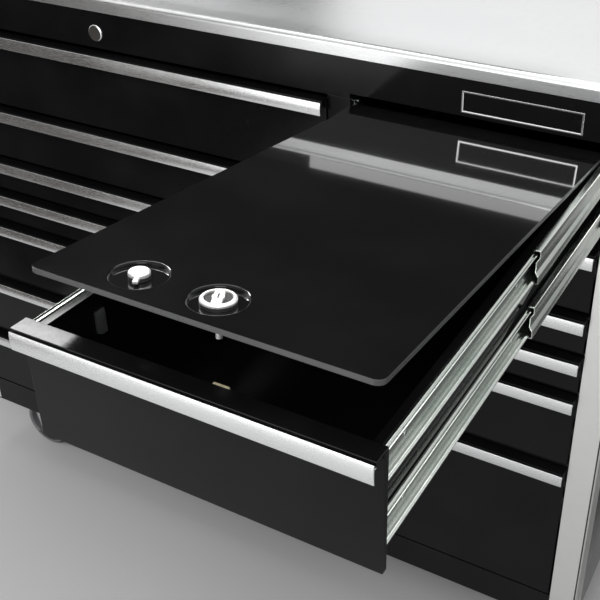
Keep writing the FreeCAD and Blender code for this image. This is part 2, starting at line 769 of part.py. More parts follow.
# Lid, drawn shut about its hinge pin and then raised
pin_y = place("pin_y", f"{face} + {pin_behind_face}", "hinge pin, drawer open")
pin_z = place("pin_z", f"{lid_ledge} - {rim_drop} + {hinge_rise}", "hinge pin above the floor")
lid_half = place("lid_half", f"{lid_half} - {lid_side_gap}", "half of the lid's width")
lid_base = place("lid_base", f"{lid_seat} - {hinge_rise}", "lid's lower edge above the pin")
dish_floor = place("dish_floor", f"{lid_base} + {lid_sheet}", "floor of a dish above the pin")
lock_y = place("lock_y", f"{lock_back} - {lid_length}", "lock in front of the pin")
document.recompute()


def rounded(half_width, near, far, radius):
    right, left = half_width, f"(-{half_width})"
    return (
        (f"{left} + {radius}", near),
        (f"{right} - {radius}", near, radius),
        (right, f"{near} + {radius}"),
        (right, f"{far} - {radius}", radius),
        (f"{right} - {radius}", far),
        (f"{left} + {radius}", far, radius),
        (left, f"{far} - {radius}"),
        (left, f"{near} + {radius}", radius),
    )


def raised(name, item):
    holder = group(name + "_raised", (item,))
    holder.Placement = Placement(Vector(), Rotation(Vector(-1, 0, 0), number(lid_tilt)))
    bind(holder, "Placement.Rotation.Angle", f"{lid_tilt} * 1 deg")
    return keep(name, move(holder, (lid_middle, pin_y, pin_z)))


lid_outline = outline("lid_outline", "XY", rounded(lid_half, f"(-{lid_length})", f"(-{hinge_back})", lid_corner))
lid_inside = outline(
    "lid_inside",
    "XY",
    rounded(
        f"({lid_half} - {lid_sheet})",
        f"({lid_sheet} - {lid_length})",
        f"(-{hinge_back} - {lid_sheet})",
        f"({lid_corner} - {lid_sheet})",
    ),
)
lid_block = extrude("lid_block", lid_outline, "Z", lid_flange, ("0", "0", lid_base))
lid_hollow = extrude("lid_hollow", lid_inside, "Z", f"{lid_flange} - {lid_sheet}", ("0", "0", lid_base))
lid_pan = cut("lid_pan", lid_block, lid_hollow)
turners = (("0", "lock"), (f"(-{knob_offset})", "knob"))
bowls = [
    rod(f"{tag}_bowl", "Z", f"{dish_radius} + {lid_sheet}", f"{lid_flange} - {lid_sheet}", (x, lock_y, lid_base))
    for x, tag in turners
]


def knuckle_start(index):
    return f"({index} - 2.5) * ({knuckle_long} + {knuckle_gap}) + {knuckle_gap} / 2"


knuckles = []
for index in (1, 3):
    start = knuckle_start(index)
    knuckles.append(rod(f"lid_knuckle_{index}", "X", knuckle_radius, knuckle_long, (start, "0", "0")))
    knuckles.append(
        block(
            f"lid_tab_{index}",
            (knuckle_long, f"{hinge_back} + {lid_sheet}", lid_sheet),
            (start, f"-{hinge_back} - {lid_sheet}", f"{knuckle_radius} - {lid_sheet}"),
        )
    )
lid_sheetwork = fuse("lid_sheetwork", lid_pan, *bowls, *knuckles)
lid_bores = [
    rod("lid_pin_bore", "X", f"{hinge_pin} + {pin_play}", f"2 * {lid_half}", (f"(-{lid_half})", "0", "0"))
]
for x, tag in turners:
    bowl_depth = f"{lid_top} - {dish_floor}"
    lid_bores.append(rod(f"{tag}_dish", "Z", dish_radius, bowl_depth, (x, lock_y, dish_floor)))
    lid_bores.append(rod(f"{tag}_bore", "Z", f"{spindle_radius} + {pin_play}", lid_flange, (x, lock_y, lid_base)))
raised("drawer_lid", cut("lid", lid_sheetwork, fuse("lid_bores", *lid_bores)))

# Hinge: leaf and knuckles on the box's rear wall, with the pin
leaf_top = f"(-{hinge_rise} - {pin_play})"
fixed = [
    rod("hinge_rod", "X", hinge_pin, f"5 * {knuckle_long} + 4 * {knuckle_gap}", (knuckle_start(0), "0", "0")),
    block(
        "leaf",
        (f"5 * {knuckle_long} + 4 * {knuckle_gap}", drawer_sheet, f"{leaf_drop} - {knuckle_radius} - {slide_play}"),
        (knuckle_start(0), f"-{hinge_back}", f"-{leaf_drop}"),
    ),
]
for index in (0, 2, 4):
    start = knuckle_start(index)
    fixed.append(rod(f"fixed_knuckle_{index}", "X", knuckle_radius, knuckle_long, (start, "0", "0")))
    fixed.append(
        block(
            f"leaf_tab_{index}",
            (knuckle_long, drawer_sheet, f"{leaf_drop} + {leaf_top}"),
            (start, f"-{hinge_back}", f"-{leaf_drop}"),
        )
    )
keep("lid_hinge", group("hinge", (fuse("hinge_leaf", *fixed),), (lid_middle, pin_y, pin_z)))

# Knob and lock turn in their dishes; the lock's cam swings under the strike
head_base = f"({dish_floor} + {slide_play})"
collar_top = f"({lid_base} - {slide_play})"
collar_radius = f"({spindle_radius} + {collar_step})"
collar_end = f"({collar_top} - {collar_thick})"


def turner(name, head_radius, head_height, recess, stem=()):
    """Knob or lock as turned: its head, the spindle through the dish, the collar under it, and its stem."""
    ends = stem or ((collar_end, "0"),)
    section = ends[-1:] + (
        (f"{head_base} + {head_height} - {recess[1]}", "0"),
        (f"{head_base} + {head_height} - {recess[1]}", recess[0]),
        (f"{head_base} + {head_height}", recess[0]),
        (f"{head_base} + {head_height}", f"{head_radius} - {lid_sheet}"),
        (f"{head_base} + {head_height} - {lid_sheet}", head_radius),
        (head_base, head_radius),
        (head_base, spindle_radius),
        (collar_top, spindle_radius),
        (collar_top, collar_radius),
        (collar_end, collar_radius),
    ) + stem[:-1]
    return turned(name, "Z", section)


knob = turner("knob", knob_radius, knob_head, (hinge_pin, drawer_sheet))
raised("lid_knob", group("knob_place", (knob,), (f"(-{knob_offset})", lock_y, "0")))
cam_base = f"({lid_base} - {cam_drop} - {cam_thick})"
screw_end = f"({lid_base} - {screw_drop})"
stem = (
    (collar_end, stem_radius),
    (cam_base, stem_radius),
    (cam_base, stem_screw),
    (screw_end, stem_screw),
    (screw_end, "0"),
)
lock_body = turner("lock_body", lock_radius, lock_head, (lock_recess, pull_web), stem)
cam_arm = block("cam_arm", (cam_reach, cam_width, cam_thick), ("0", f"-{cam_width} / 2", cam_base))
cam = group("cam", (cam_arm,))
cam.Placement = Placement(Vector(), Rotation(ALONG["Z"], number(cam_angle)))
bind(cam, "Placement.Rotation.Angle", f"{cam_angle} * 1 deg")
raised("lid_lock", group("lock_place", (fuse("lock_with_cam", lock_body, cam),), ("0", lock_y, "0")))
keep(
    "central_lock",
    turned(
        "plug",
        "Y",
        (
            (f"(-{plug_collar})", "0"),
            (barrel_long, "0"),
            (barrel_long, barrel_radius),
            ("0", barrel_radius),
            ("0", plug_radius),
            (f"{lid_sheet} - {plug_collar}", plug_radius),
            (f"(-{plug_collar})", f"{plug_radius} - {lid_sheet}"),
        ),
        (plug_x, face, plug_z),
    ),
)

# Casters: two rigid ones at the left end, two swivelling ones at the right end
half_wheel = f"{wheel_width} / 2"
wheel_section = (
    (f"{hub_set} - {half_wheel}", f"{axle_radius} + {pin_play}"),
    (f"{half_wheel} - {hub_set}", f"{axle_radius} + {pin_play}"),
    (f"{half_wheel} - {hub_set}", hub_radius),
    (f"{half_wheel} - {web_set}", hub_radius),
    (f"{half_wheel} - {web_set}", f"{wheel_radius} - {tread_thick}"),
    (f"{half_wheel} - {hub_set}", f"{wheel_radius} - {tread_thick}"),
    (half_wheel, f"{wheel_radius} - {tread_thick} + {hub_set}"),
    (half_wheel, f"{wheel_radius} - {tread_bevel}"),
    (f"{half_wheel} - {tread_bevel}", wheel_radius),
    (f"{tread_bevel} - {half_wheel}", wheel_radius),
    (f"(-{half_wheel})", f"{wheel_radius} - {tread_bevel}"),
    (f"(-{half_wheel})", f"{wheel_radius} - {tread_thick} + {hub_set}"),
    (f"{hub_set} - {half_wheel}", f"{wheel_radius} - {tread_thick}"),
    (f"{web_set} - {half_wheel}", f"{wheel_radius} - {tread_thick}"),
    (f"{web_set} - {half_wheel}", hub_radius),
    (f"{hub_set} - {half_wheel}", hub_radius),
)
crown_top = f"({crown_base} + {fork_sheet})"


def fork(name, trail, race_height):
    """Fork about its kingpin's axis, with its axle; the legs stand along X, trail off the kingpin."""
    leg_profile = outline(
        name + "_leg_profile",
        "XZ",
        (
            (f"-{fork_top} / 2", crown_top),
            (f"-{fork_top} / 2", f"{crown_base} - {fork_shoulder}"),
            (f"{trail} - {fork_end}", axle_height, fork_boss),
            (f"{trail} + {fork_end}", axle_height),
            (f"{fork_top} / 2", f"{crown_base} - {fork_shoulder}"),
            (f"{fork_top} / 2", crown_top),
        ),
    )
    bolt = f"{fork_width} + 2 * {axle_head_thick}"
    pieces = [
        extrude(name + "_near_leg", leg_profile, "Y", fork_sheet, ("0", f"-{fork_width} / 2", "0")),
        extrude(name + "_far_leg", leg_profile, "Y", fork_sheet, ("0", f"{fork_width} / 2 - {fork_sheet}", "0")),
        block(
            name + "_crown",
            (fork_top, fork_width, fork_sheet),
            (f"-{fork_top} / 2", f"-{fork_width} / 2", crown_base),
        ),
        rod(name + "_race", "Z", race_radius, race_height, ("0", "0", crown_top)),
        rod(name + "_axle", "Y", axle_radius, bolt, (trail, f"-({bolt}) / 2", axle_height)),
    ]
    for end, start in (("near", f"-({bolt}) / 2"), ("far", f"{fork_width} / 2")):
        pieces.append(rod(f"{name}_{end}_head", "Y", axle_head, axle_head_thick, (trail, start, axle_height)))
    return fuse(name + "_fork", *pieces)


def plate(name):
    return block(
        name,
        (plate_long, plate_wide, fork_sheet),
        (f"-{plate_long} / 2", f"-{plate_wide} / 2", plate_base),
    )


rigid = fuse("rigid_caster", fork("rigid", "0", f"{plate_base} - {crown_top}"), plate("rigid_plate"))
head_level = f"({crown_base} - {slide_play} - {kingpin_head_thick})"
swivel_plate = fuse(
    "swivel_plate",
    plate("swivel_plate_sheet"),
    rod("kingpin", "Z", kingpin_radius, f"{plate_base} - {head_level}", ("0", "0", head_level)),
    rod("kingpin_foot", "Z", kingpin_head, kingpin_head_thick, ("0", "0", head_level)),
)
swivel = cut(
    "swivel_fork",
    fork("swivel", caster_trail, f"{plate_base} - {swivel_play} - {crown_top}"),
    rod("kingpin_bore", "Z", f"{kingpin_radius} + {pin_play}", plate_base, ("0", "0", axle_height)),
)
caster_left = f"{left_edge} + {caster_inset_x}"
caster_right = f"{right_edge} - {caster_inset_x}"
plates = []
for end, y in (("front", f"{face} + {caster_inset_y}"), ("rear", f"{rear} - {caster_inset_y}")):
    plates.append(group(f"rigid_{end}", (rigid,), (caster_left, y, "0")))
    plates.append(group(f"swivel_plate_{end}", (swivel_plate,), (caster_right, y, "0")))
    keep(f"swivel_fork_{end}", group(f"swivel_{end}", (swivel,), (caster_right, y, "0")))
    for hand, x in (("left", caster_left), ("right", f"{caster_right} + {caster_trail}")):
        keep(f"wheel_{end}_{hand}", turned(f"{hand}_{end}", "Y", wheel_section, (x, y, axle_height)))
keep("caster_plates", group("caster_mounts", plates))

document.recompute()
faulty = [item.Name for item in document.Objects if {"Invalid", "Error"} & set(item.State)]
if faulty:
    raise SystemExit("not computed: " + ", ".join(faulty))
os.makedirs("parts", exist_ok=True)
for name, item in nodes:
    shape = item.Shape
    if shape.isNull() or not shape.isValid() or not shape.Solids:
        raise SystemExit("unsound shape: " + name)
for name, item in nodes:
    item.Shape.exportStep(f"parts/{name}.step")
print(len(nodes), "nodes,", sum(len(item.Shape.Solids) for _, item in nodes), "solids")
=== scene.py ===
"""Looks of a rolling tool cabinet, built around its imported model, in metres."""

import json
import logging
import math
from collections.abc import Callable
from dataclasses import dataclass, field
from enum import Enum
from itertools import product

import bmesh
import bpy
from mathutils import Matrix, Vector


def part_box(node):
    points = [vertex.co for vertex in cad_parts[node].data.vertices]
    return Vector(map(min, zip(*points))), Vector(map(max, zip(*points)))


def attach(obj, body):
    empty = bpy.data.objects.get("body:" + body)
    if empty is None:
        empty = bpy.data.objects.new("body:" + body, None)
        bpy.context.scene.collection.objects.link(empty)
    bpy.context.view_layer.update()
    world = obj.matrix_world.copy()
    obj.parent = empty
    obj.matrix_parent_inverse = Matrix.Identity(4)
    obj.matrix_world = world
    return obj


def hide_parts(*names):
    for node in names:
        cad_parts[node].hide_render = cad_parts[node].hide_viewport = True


log = logging.getLogger("tool_cabinet")
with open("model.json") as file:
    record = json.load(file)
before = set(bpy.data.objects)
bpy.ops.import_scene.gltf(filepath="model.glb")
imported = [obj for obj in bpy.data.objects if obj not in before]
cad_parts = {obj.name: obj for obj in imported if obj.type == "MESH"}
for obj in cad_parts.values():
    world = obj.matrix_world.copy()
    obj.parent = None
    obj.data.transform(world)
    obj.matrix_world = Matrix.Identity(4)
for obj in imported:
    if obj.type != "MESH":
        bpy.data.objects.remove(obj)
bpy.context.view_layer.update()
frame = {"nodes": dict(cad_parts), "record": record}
NODES = frame["nodes"]
JOINTS = {joint["name"]: joint for joint in frame["record"]["behaviour"]["joints"]}
Point = tuple[float, float, float]
Colour = tuple[float, float, float]
Socket = bpy.types.NodeSocket

BEVEL_ANGLE = math.radians(30.0)  # an edge that turns by more is rounded
MERGE_DISTANCE = 0.00002  # vertices of a CAD mesh nearer than this are one
FLAT_ANGLE = math.radians(0.5)  # triangles that turn by less are one flat face
GRAIN_DEPTH = 0.001  # height of the bump in every finish
FACING = 0.9  # least component of the normal of a face that looks along an axis
FRAME_PIXELS = 600.0  # side of the photograph's frame
SENSOR_WIDTH = 36.0  # of the camera, in millimetres


class Grain(Enum):
    """Way that a brushed surface's grain runs: how far each axis is stretched."""

    ALONG_X = (1.0, 60.0, 60.0)
    ALONG_Y = (60.0, 1.0, 60.0)
    ALONG_Z = (60.0, 60.0, 1.0)
    EVEN = (1.0, 1.0, 1.0)


class Slot(Enum):
    """Material slots of the record."""

    BLACK = "black_powder_coat"
    ALUMINIUM = "bright_aluminium"
    STAINLESS = "stainless"
    ZINC = "zinc_plated"
    CHROME = "polished_chrome"
    RUBBER = "caster_rubber"


class Bank(Enum):
    """Banks of drawers: name and number of drawers."""

    WIDE = ("left", 7)
    NARROW = ("right", 6)


class Member(Enum):
    """Rolled sections of a slide: midline from the flange's lip to the web, out and up in metres."""

    DRAWER = (
        (0.0079, 0.0171), (0.0072, 0.0174), (0.0065, 0.0168), (0.0058, 0.0160), (0.0050, 0.0158), (0.0042, 0.0161),
        (0.0036, 0.0169), (0.0029, 0.0174), (0.0014, 0.0174), (0.0006, 0.0166), (0.0006, 0.0040),
    )
    MIDDLE = (
        (0.0040, 0.0201), (0.0031, 0.0206), (0.0031, 0.0214), (0.0038, 0.0219), (0.0098, 0.0219), (0.0106, 0.0215),
        (0.0108, 0.0207), (0.0108, 0.0132), (0.0103, 0.0120), (0.0075, 0.0074), (0.0070, 0.0062), (0.0070, 0.0020),
    )
    CABINET = (
        (0.0038, 0.0253), (0.0046, 0.0259), (0.0112, 0.0259), (0.0120, 0.0256), (0.0121, 0.0248), (0.0121, 0.0060),
    )


REACH = {Member.DRAWER: 0.0085, Member.MIDDLE: 0.0114, Member.CABINET: 0.0127}  # outermost face from the box's side


# Shader groups


def link_chain(tree: bpy.types.NodeTree, *pairs: tuple[Socket, Socket]) -> None:
    """Links each pair of sockets.

    Args:
        tree: Node tree that holds the sockets.
        pairs: Output and input sockets.
    """
    for source, target in pairs:
        tree.links.new(source, target)


def new_group(
    name: str, inputs: dict[str, float | None], outputs: tuple[str, ...]
) -> tuple[bpy.types.NodeTree, bpy.types.Node, bpy.types.Node]:
    """Starts a shader node group.

    Args:
        name: Group's name.
        inputs: Default of each input; None makes a vector socket.
        outputs: Names of the float outputs.

    Returns:
        The tree, its input node and its output node.
    """
    tree = bpy.data.node_groups.new(name, "ShaderNodeTree")
    for label, default in inputs.items():
        kind = "NodeSocketVector" if default is None else "NodeSocketFloat"
        socket = tree.interface.new_socket(name=label, in_out="INPUT", socket_type=kind)
        if default is not None:
            socket.default_value = default
    for label in outputs:
        tree.interface.new_socket(name=label, in_out="OUTPUT", socket_type="NodeSocketFloat")
    return tree, tree.nodes.new("NodeGroupInput"), tree.nodes.new("NodeGroupOutput")


def ranged(
    tree: bpy.types.NodeTree,
    source: Socket,
    low: Socket | float,
    high: Socket | float,
    span: tuple[float, float] = (0.3, 0.7),
) -> Socket:
    """Maps a value from a span to new limits.

    Args:
        tree: Node tree.
        source: Output socket with the value.
        low: Output socket or number for the low end.
        high: Output socket or number for the high end.
        span: Values that map to the two ends.

    Returns:
        The result socket.
    """
    node = tree.nodes.new("ShaderNodeMapRange")
    node.inputs["From Min"].default_value, node.inputs["From Max"].default_value = span
    tree.links.new(source, node.inputs["Value"])
    for label, end in (("To Min", low), ("To Max", high)):
        if isinstance(end, (int, float)):
            node.inputs[label].default_value = end
        else:
            tree.links.new(end, node.inputs[label])
    return node.outputs["Result"]


def noise(tree: bpy.types.NodeTree, vector: Socket, scale: Socket, detail: float) -> Socket:
    """Adds a noise texture.

    Args:
        tree: Node tree.
        vector: Output socket with the position.
        scale: Output socket with the scale.
        detail: Octaves.

    Returns:
        The value socket.
    """
    node = tree.nodes.new("ShaderNodeTexNoise")
    node.inputs["Detail"].default_value = detail
    node.inputs["Roughness"].default_value = 0.55
    link_chain(tree, (vector, node.inputs["Vector"]), (scale, node.inputs["Scale"]))
    return node.outputs["Fac"]


def grain_group() -> bpy.types.NodeTree:
    """Builds the fine surface texture: a height, and a roughness between two limits.

    Returns:
        The group.
    """
    tree, given, result = new_group(
        "fine_grain", {"Vector": None, "Scale": 900.0, "Smooth": 0.2, "Rough": 0.3}, ("Height", "Roughness")
    )
    fine = noise(tree, given.outputs["Vector"], given.outputs["Scale"], 2.0)
    rough = ranged(tree, fine, given.outputs["Smooth"], given.outputs["Rough"])
    link_chain(tree, (fine, result.inputs["Height"]), (rough, result.inputs["Roughness"]))
    return tree


def handling_group() -> bpy.types.NodeTree:
    """Builds the marks of use: faint wiped patches and a few fine scuffs, as one mask.

    Returns:
        The group.
    """
    tree, given, result = new_group("handling_marks", {"Vector": None, "Patch": 7.0, "Scuff": 90.0}, ("Mask",))
    wiped = noise(tree, given.outputs["Vector"], given.outputs["Patch"], 4.0)
    patches = ranged(tree, wiped, 0.0, 1.0, (0.42, 0.72))
    rubbed = noise(tree, given.outputs["Vector"], given.outputs["Scuff"], 2.0)
    scuffs = ranged(tree, rubbed, 0.0, 1.0, (0.62, 0.8))
    both = tree.nodes.new("ShaderNodeMath")
    both.operation = "MAXIMUM"
    link_chain(tree, (patches, both.inputs[0]), (scuffs, both.inputs[1]), (both.outputs[0], result.inputs["Mask"]))
    return tree


@dataclass(frozen=True)
class Finish:
    """A surface finish with fine grain, marks of use and two close tones.

    Its smooth and rough fields are the ends of its roughness. Where mirror_span is given, the clear coat grows
    from none to full between those two values of the slant at which the surface is seen.
    """

    name: str
    tone: Colour
    second_tone: Colour
    smooth: float
    rough: float
    metallic: float = 0.0
    specular: float = 0.5
    grain: Grain = Grain.EVEN
    grain_scale: float = 900.0
    bump: float = 0.02
    marks: float = 0.08
    mirror_span: tuple[float, float] | None = None
    coat_rough: float = 0.04
    coat_ior: float = 1.5

    def material(self) -> bpy.types.Material:
        """Makes the finish's material on first use.

        Returns:
            The material.
        """
        known = bpy.data.materials.get(self.name)
        if known:
            return known
        made = bpy.data.materials.new(self.name)
        made.use_nodes = True
        tree = made.node_tree
        shader = tree.nodes["Principled BSDF"]
        for label, amount in (
            ("Metallic", self.metallic),
            ("Coat Roughness", self.coat_rough),
            ("Coat IOR", self.coat_ior),
            ("Specular IOR Level", self.specular),
        ):
            shader.inputs[label].default_value = amount
        place = tree.nodes.new("ShaderNodeTexCoord").outputs["Object"]
        stretch = tree.nodes.new("ShaderNodeMapping")
        stretch.inputs["Scale"].default_value = self.grain.value
        grain = tree.nodes.new("ShaderNodeGroup")
        grain.node_tree = bpy.data.node_groups.get("fine_grain") or grain_group()
        grain.inputs["Scale"].default_value = self.grain_scale
        grain.inputs["Smooth"].default_value = self.smooth
        grain.inputs["Rough"].default_value = self.rough
        marks = tree.nodes.new("ShaderNodeGroup")
        marks.node_tree = bpy.data.node_groups.get("handling_marks") or handling_group()
        worn = ranged(tree, marks.outputs["Mask"], 0.0, self.marks, (0.0, 1.0))
        roughness = tree.nodes.new("ShaderNodeMath")
        tone = tree.nodes.new("ShaderNodeMix")
        tone.data_type = "RGBA"
        tone.inputs[6].default_value = (*self.tone, 1.0)
        tone.inputs[7].default_value = (*self.second_tone, 1.0)
        bump = tree.nodes.new("ShaderNodeBump")
        bump.inputs["Strength"].default_value = self.bump
        bump.inputs["Distance"].default_value = GRAIN_DEPTH
        link_chain(
            tree,
            (place, stretch.inputs["Vector"]),
            (stretch.outputs["Vector"], grain.inputs["Vector"]),
            (place, marks.inputs["Vector"]),
            (grain.outputs["Roughness"], roughness.inputs[0]),
            (worn, roughness.inputs[1]),
            (roughness.outputs[0], shader.inputs["Roughness"]),
            (marks.outputs["Mask"], tone.inputs[0]),
            (tone.outputs[2], shader.inputs["Base Color"]),
            (grain.outputs["Height"], bump.inputs["Height"]),
            (bump.outputs["Normal"], shader.inputs["Normal"]),
        )
        if self.mirror_span:
            slant = tree.nodes.new("ShaderNodeLayerWeight").outputs["Facing"]
            tree.links.new(ranged(tree, slant, 0.0, 1.0, self.mirror_span), shader.inputs["Coat Weight"])
        return made


POWDER_COAT = Finish(
    "black_gloss_coat", (0.0035, 0.0035, 0.0038), (0.006, 0.006, 0.0065), 0.1, 0.16, specular=0.17,
    grain_scale=420.0, bump=0.006, marks=0.05,
)
LID_COAT = Finish(
    "black_mirror_coat", (0.006, 0.006, 0.0065), (0.009, 0.009, 0.0095), 0.05, 0.08, specular=0.16,
    grain_scale=420.0, bump=0.004, marks=0.04, mirror_span=(0.35, 0.6), coat_rough=0.035, coat_ior=2.0,
)
# Lighter grey copy of the lid's black coat for its flanks: painted sheen standing in for their brighter reflection
LID_EDGE_SHEEN = Finish(
    "lid_edge_painted_sheen", (0.05, 0.05, 0.052), (0.07, 0.07, 0.072), 0.25, 0.35, grain_scale=420.0, bump=0.01,
)
PULL_METAL = Finish(
    "bright_pull_metal", (0.94, 0.945, 0.95), (0.88, 0.885, 0.89), 0.2, 0.28, metallic=1.0, grain=Grain.ALONG_X,
    grain_scale=60.0, bump=0.03, marks=0.06,
)
POST_METAL = Finish(
    "bright_post_metal", (0.92, 0.92, 0.9), (0.86, 0.86, 0.84), 0.3, 0.4, metallic=1.0, grain=Grain.ALONG_Z,
    grain_scale=50.0, bump=0.04,
)
WORKTOP_STEEL = Finish(
    "brushed_stainless", (0.8, 0.805, 0.81), (0.76, 0.765, 0.77), 0.26, 0.34, metallic=1.0, grain=Grain.ALONG_X,
    grain_scale=45.0, bump=0.03, marks=0.02,
)
SLIDE_ZINC = Finish(
    "zinc_slide_steel", (0.6, 0.63, 0.6), (0.5, 0.54, 0.51), 0.13, 0.22, metallic=1.0, grain=Grain.ALONG_Y,
    grain_scale=60.0, bump=0.03, marks=0.1,
)
CASTER_ZINC = Finish(
    "zinc_caster_steel", (0.6, 0.61, 0.6), (0.5, 0.51, 0.5), 0.3, 0.45, metallic=1.0, grain_scale=300.0, marks=0.12,
)
CHROME = Finish(
    "polished_chrome", (0.9, 0.9, 0.9), (0.84, 0.84, 0.84), 0.05, 0.1, metallic=1.0, grain_scale=500.0, bump=0.01,
    marks=0.06,
)
SATIN_CHROME = Finish(
    "satin_chrome", (0.95, 0.95, 0.94), (0.88, 0.88, 0.87), 0.34, 0.46, metallic=0.85, grain_scale=500.0, bump=0.01,
    marks=0.06,
)
STRIKE_METAL = Finish(
    "yellow_zinc", (0.8, 0.72, 0.5), (0.66, 0.58, 0.38), 0.35, 0.48, metallic=0.35, grain_scale=400.0,
)
TREAD = Finish(
    "tread_rubber", (0.02, 0.02, 0.021), (0.035, 0.034, 0.033), 0.6, 0.8, grain_scale=500.0, bump=0.2, marks=0.1,
)
HUB = Finish(
    "hub_moulding", (0.11, 0.11, 0.115), (0.14, 0.14, 0.145), 0.35, 0.5, grain_scale=600.0, bump=0.05,
)
# Black used only as painted shade: in the lock's recess, its keyway, under the lock's and knob's heads and down the
# corner posts
SHADE_BLACK = Finish(
    "painted_shade_black", (0.012, 0.012, 0.012), (0.02, 0.02, 0.02), 0.4, 0.55, grain_scale=600.0, bump=0.05,
)


# Modelling helpers


def only(piece: bpy.types.Object) -> None:
    """Selects one object alone and makes it active.

    Args:
        piece: The object.
    """
    bpy.ops.object.select_all(action="DESELECT")
    piece.select_set(True)
    bpy.context.view_layer.objects.active = piece


def settle(piece: bpy.types.Object, name: str, finish: Finish) -> bpy.types.Object:
    """Names a piece, gives it its finish and puts its place into its mesh.

    Args:
        piece: Finished object.
        name: Its name.
        finish: Its finish.

    Returns:
        The same object.
    """
    only(piece)
    bpy.ops.object.transform_apply(location=True, rotation=True, scale=True)
    piece.name = piece.data.name = name
    piece.data.materials.clear()
    piece.data.materials.append(finish.material())
    return piece


def apply_all(piece: bpy.types.Object) -> None:
    """Applies every modifier of a piece in order.

    Args:
        piece: Mesh object.
    """
    only(piece)
    for modifier in list(piece.modifiers):
        bpy.ops.object.modifier_apply(modifier=modifier.name)


def rounded_edges(piece: bpy.types.Object, width: float, segments: int = 2) -> None:
    """Rounds a piece's edges and shades it smooth between them.

    Args:
        piece: Mesh object.
        width: Width of the rounding.
        segments: Rows of faces in it.
    """
    bevel = piece.modifiers.new("edge", "BEVEL")
    bevel.width = width
    bevel.segments = segments
    bevel.limit_method = "ANGLE"
    bevel.angle_limit = BEVEL_ANGLE
    apply_all(piece)
    bpy.ops.object.shade_smooth_by_angle(angle=math.radians(40.0))
    evened = piece.modifiers.new("evened", "WEIGHTED_NORMAL")
    evened.mode = "FACE_AREA"
    evened.keep_sharp = True
    apply_all(piece)


def bar(low: Point, high: Point) -> bpy.types.Object:
    """Adds a block between two corners, to be shaped further.

    Args:
        low: Lowest corner.
        high: Highest corner.

    Returns:
        The new object.
    """
    bpy.ops.object.select_all(action="DESELECT")
    middle = [(a + b) / 2 for a, b in zip(low, high)]
    bpy.ops.mesh.primitive_cube_add(size=1.0, location=middle)
    piece = bpy.context.object
    piece.scale = [b - a for a, b in zip(low, high)]
    bpy.ops.object.transform_apply(location=True, rotation=True, scale=True)
    return piece


def disc(radius: float, depth: float, turn: Matrix, sides: int = 48) -> bpy.types.Object:
    """Adds a round blank whose axis runs along the turned Z.

    Args:
        radius: Its radius.
        depth: Its thickness.
        turn: Place of its middle and the way its axis points.
        sides: Number of sides.

    Returns:
        The new object.
    """
    bpy.ops.object.select_all(action="DESELECT")
    bpy.ops.mesh.primitive_cylinder_add(vertices=sides, radius=radius, depth=depth)
    piece = bpy.context.object
    piece.matrix_world = turn
    return piece


def done_editing() -> None:
    """Leaves edit mode."""
    bpy.ops.object.mode_set(mode="OBJECT")


def pick_faces(piece: bpy.types.Object, way: Point) -> None:
    """Opens a piece in edit mode with the faces selected that look one way.

    Args:
        piece: Mesh object.
        way: The way they look, in the mesh's own space.
    """
    only(piece)
    bpy.ops.object.mode_set(mode="EDIT")
    bpy.ops.mesh.select_mode(type="FACE")
    mesh = bmesh.from_edit_mesh(piece.data)
    for face in mesh.faces:
        face.select = face.normal.dot(Vector(way)) > FACING
    mesh.select_flush_mode()
    bmesh.update_edit_mesh(piece.data)


def pick_edges(piece: bpy.types.Object, wanted: Callable[[Vector], bool]) -> None:
    """Opens a piece in edit mode with the edges selected that have both ends where a test allows.

    Args:
        piece: Mesh object.
        wanted: Test of a place in the mesh's own space.
    """
    only(piece)
    bpy.ops.object.mode_set(mode="EDIT")
    bpy.ops.mesh.select_mode(type="EDGE")
    bpy.ops.mesh.select_all(action="DESELECT")
    mesh = bmesh.from_edit_mesh(piece.data)
    for edge in mesh.edges:
        edge.select = all(wanted(vertex.co) for vertex in edge.verts)
    mesh.select_flush_mode()
    bmesh.update_edit_mesh(piece.data)


def swept(line: list[Point], length: float, wall: float) -> bpy.types.Object:
    """Rolls a sheet section: one point is drawn out along a line, the line along Y, and the sheet gets its wall.

    Args:
        line: Points of the section's midline.
        length: Length along Y.
        wall: Thickness of the sheet.

    Returns:
        The new object.
    """
    bpy.ops.object.select_all(action="DESELECT")
    bpy.ops.mesh.primitive_plane_add(size=wall)
    piece = bpy.context.object
    bpy.ops.object.mode_set(mode="EDIT")
    bpy.ops.mesh.select_mode(type="VERT")
    bpy.ops.mesh.select_all(action="SELECT")
    bpy.ops.mesh.merge(type="CENTER")
    bpy.ops.transform.translate(value=line[0])
    for here, there in zip(line, line[1:]):
        step = Vector(there) - Vector(here)
        bpy.ops.mesh.extrude_vertices_move(TRANSFORM_OT_translate={"value": step})
    bpy.ops.mesh.select_all(action="SELECT")
    bpy.ops.mesh.extrude_region_move(TRANSFORM_OT_translate={"value": (0.0, length, 0.0)})
    bpy.ops.mesh.select_all(action="SELECT")
    bpy.ops.mesh.normals_make_consistent(inside=False)
    done_editing()
    sheet = piece.modifiers.new("wall", "SOLIDIFY")
    sheet.thickness = wall
    sheet.offset = 0.0
    sheet.use_even_offset = True
    apply_all(piece)
    return piece


def placed_copy(pattern: bpy.types.Object, place: Point) -> bpy.types.Object:
    """Copies a pattern piece with a mesh of its own and moves the copy.

    Args:
        pattern: Piece that is copied.
        place: Where the copy's origin goes.

    Returns:
        The copy.
    """
    twin = pattern.copy()
    twin.data = pattern.data.copy()
    bpy.context.scene.collection.objects.link(twin)
    twin.location = place
    return twin


def stand_for(piece: bpy.types.Object, slot: Slot, body: str, *nodes: str) -> None:
    """Hangs a piece on the empty of the body that it rides on, hides the CAD nodes that it stands for and logs it.

    Args:
        piece: Finished piece.
        slot: Record's slot of its finish; not used.
        body: Body that it rides on.
        nodes: CAD nodes that it stands for.
    """
    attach(piece, body)
    if nodes:
        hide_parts(*nodes)
    log.info("%s rides on %s", piece.name, body)


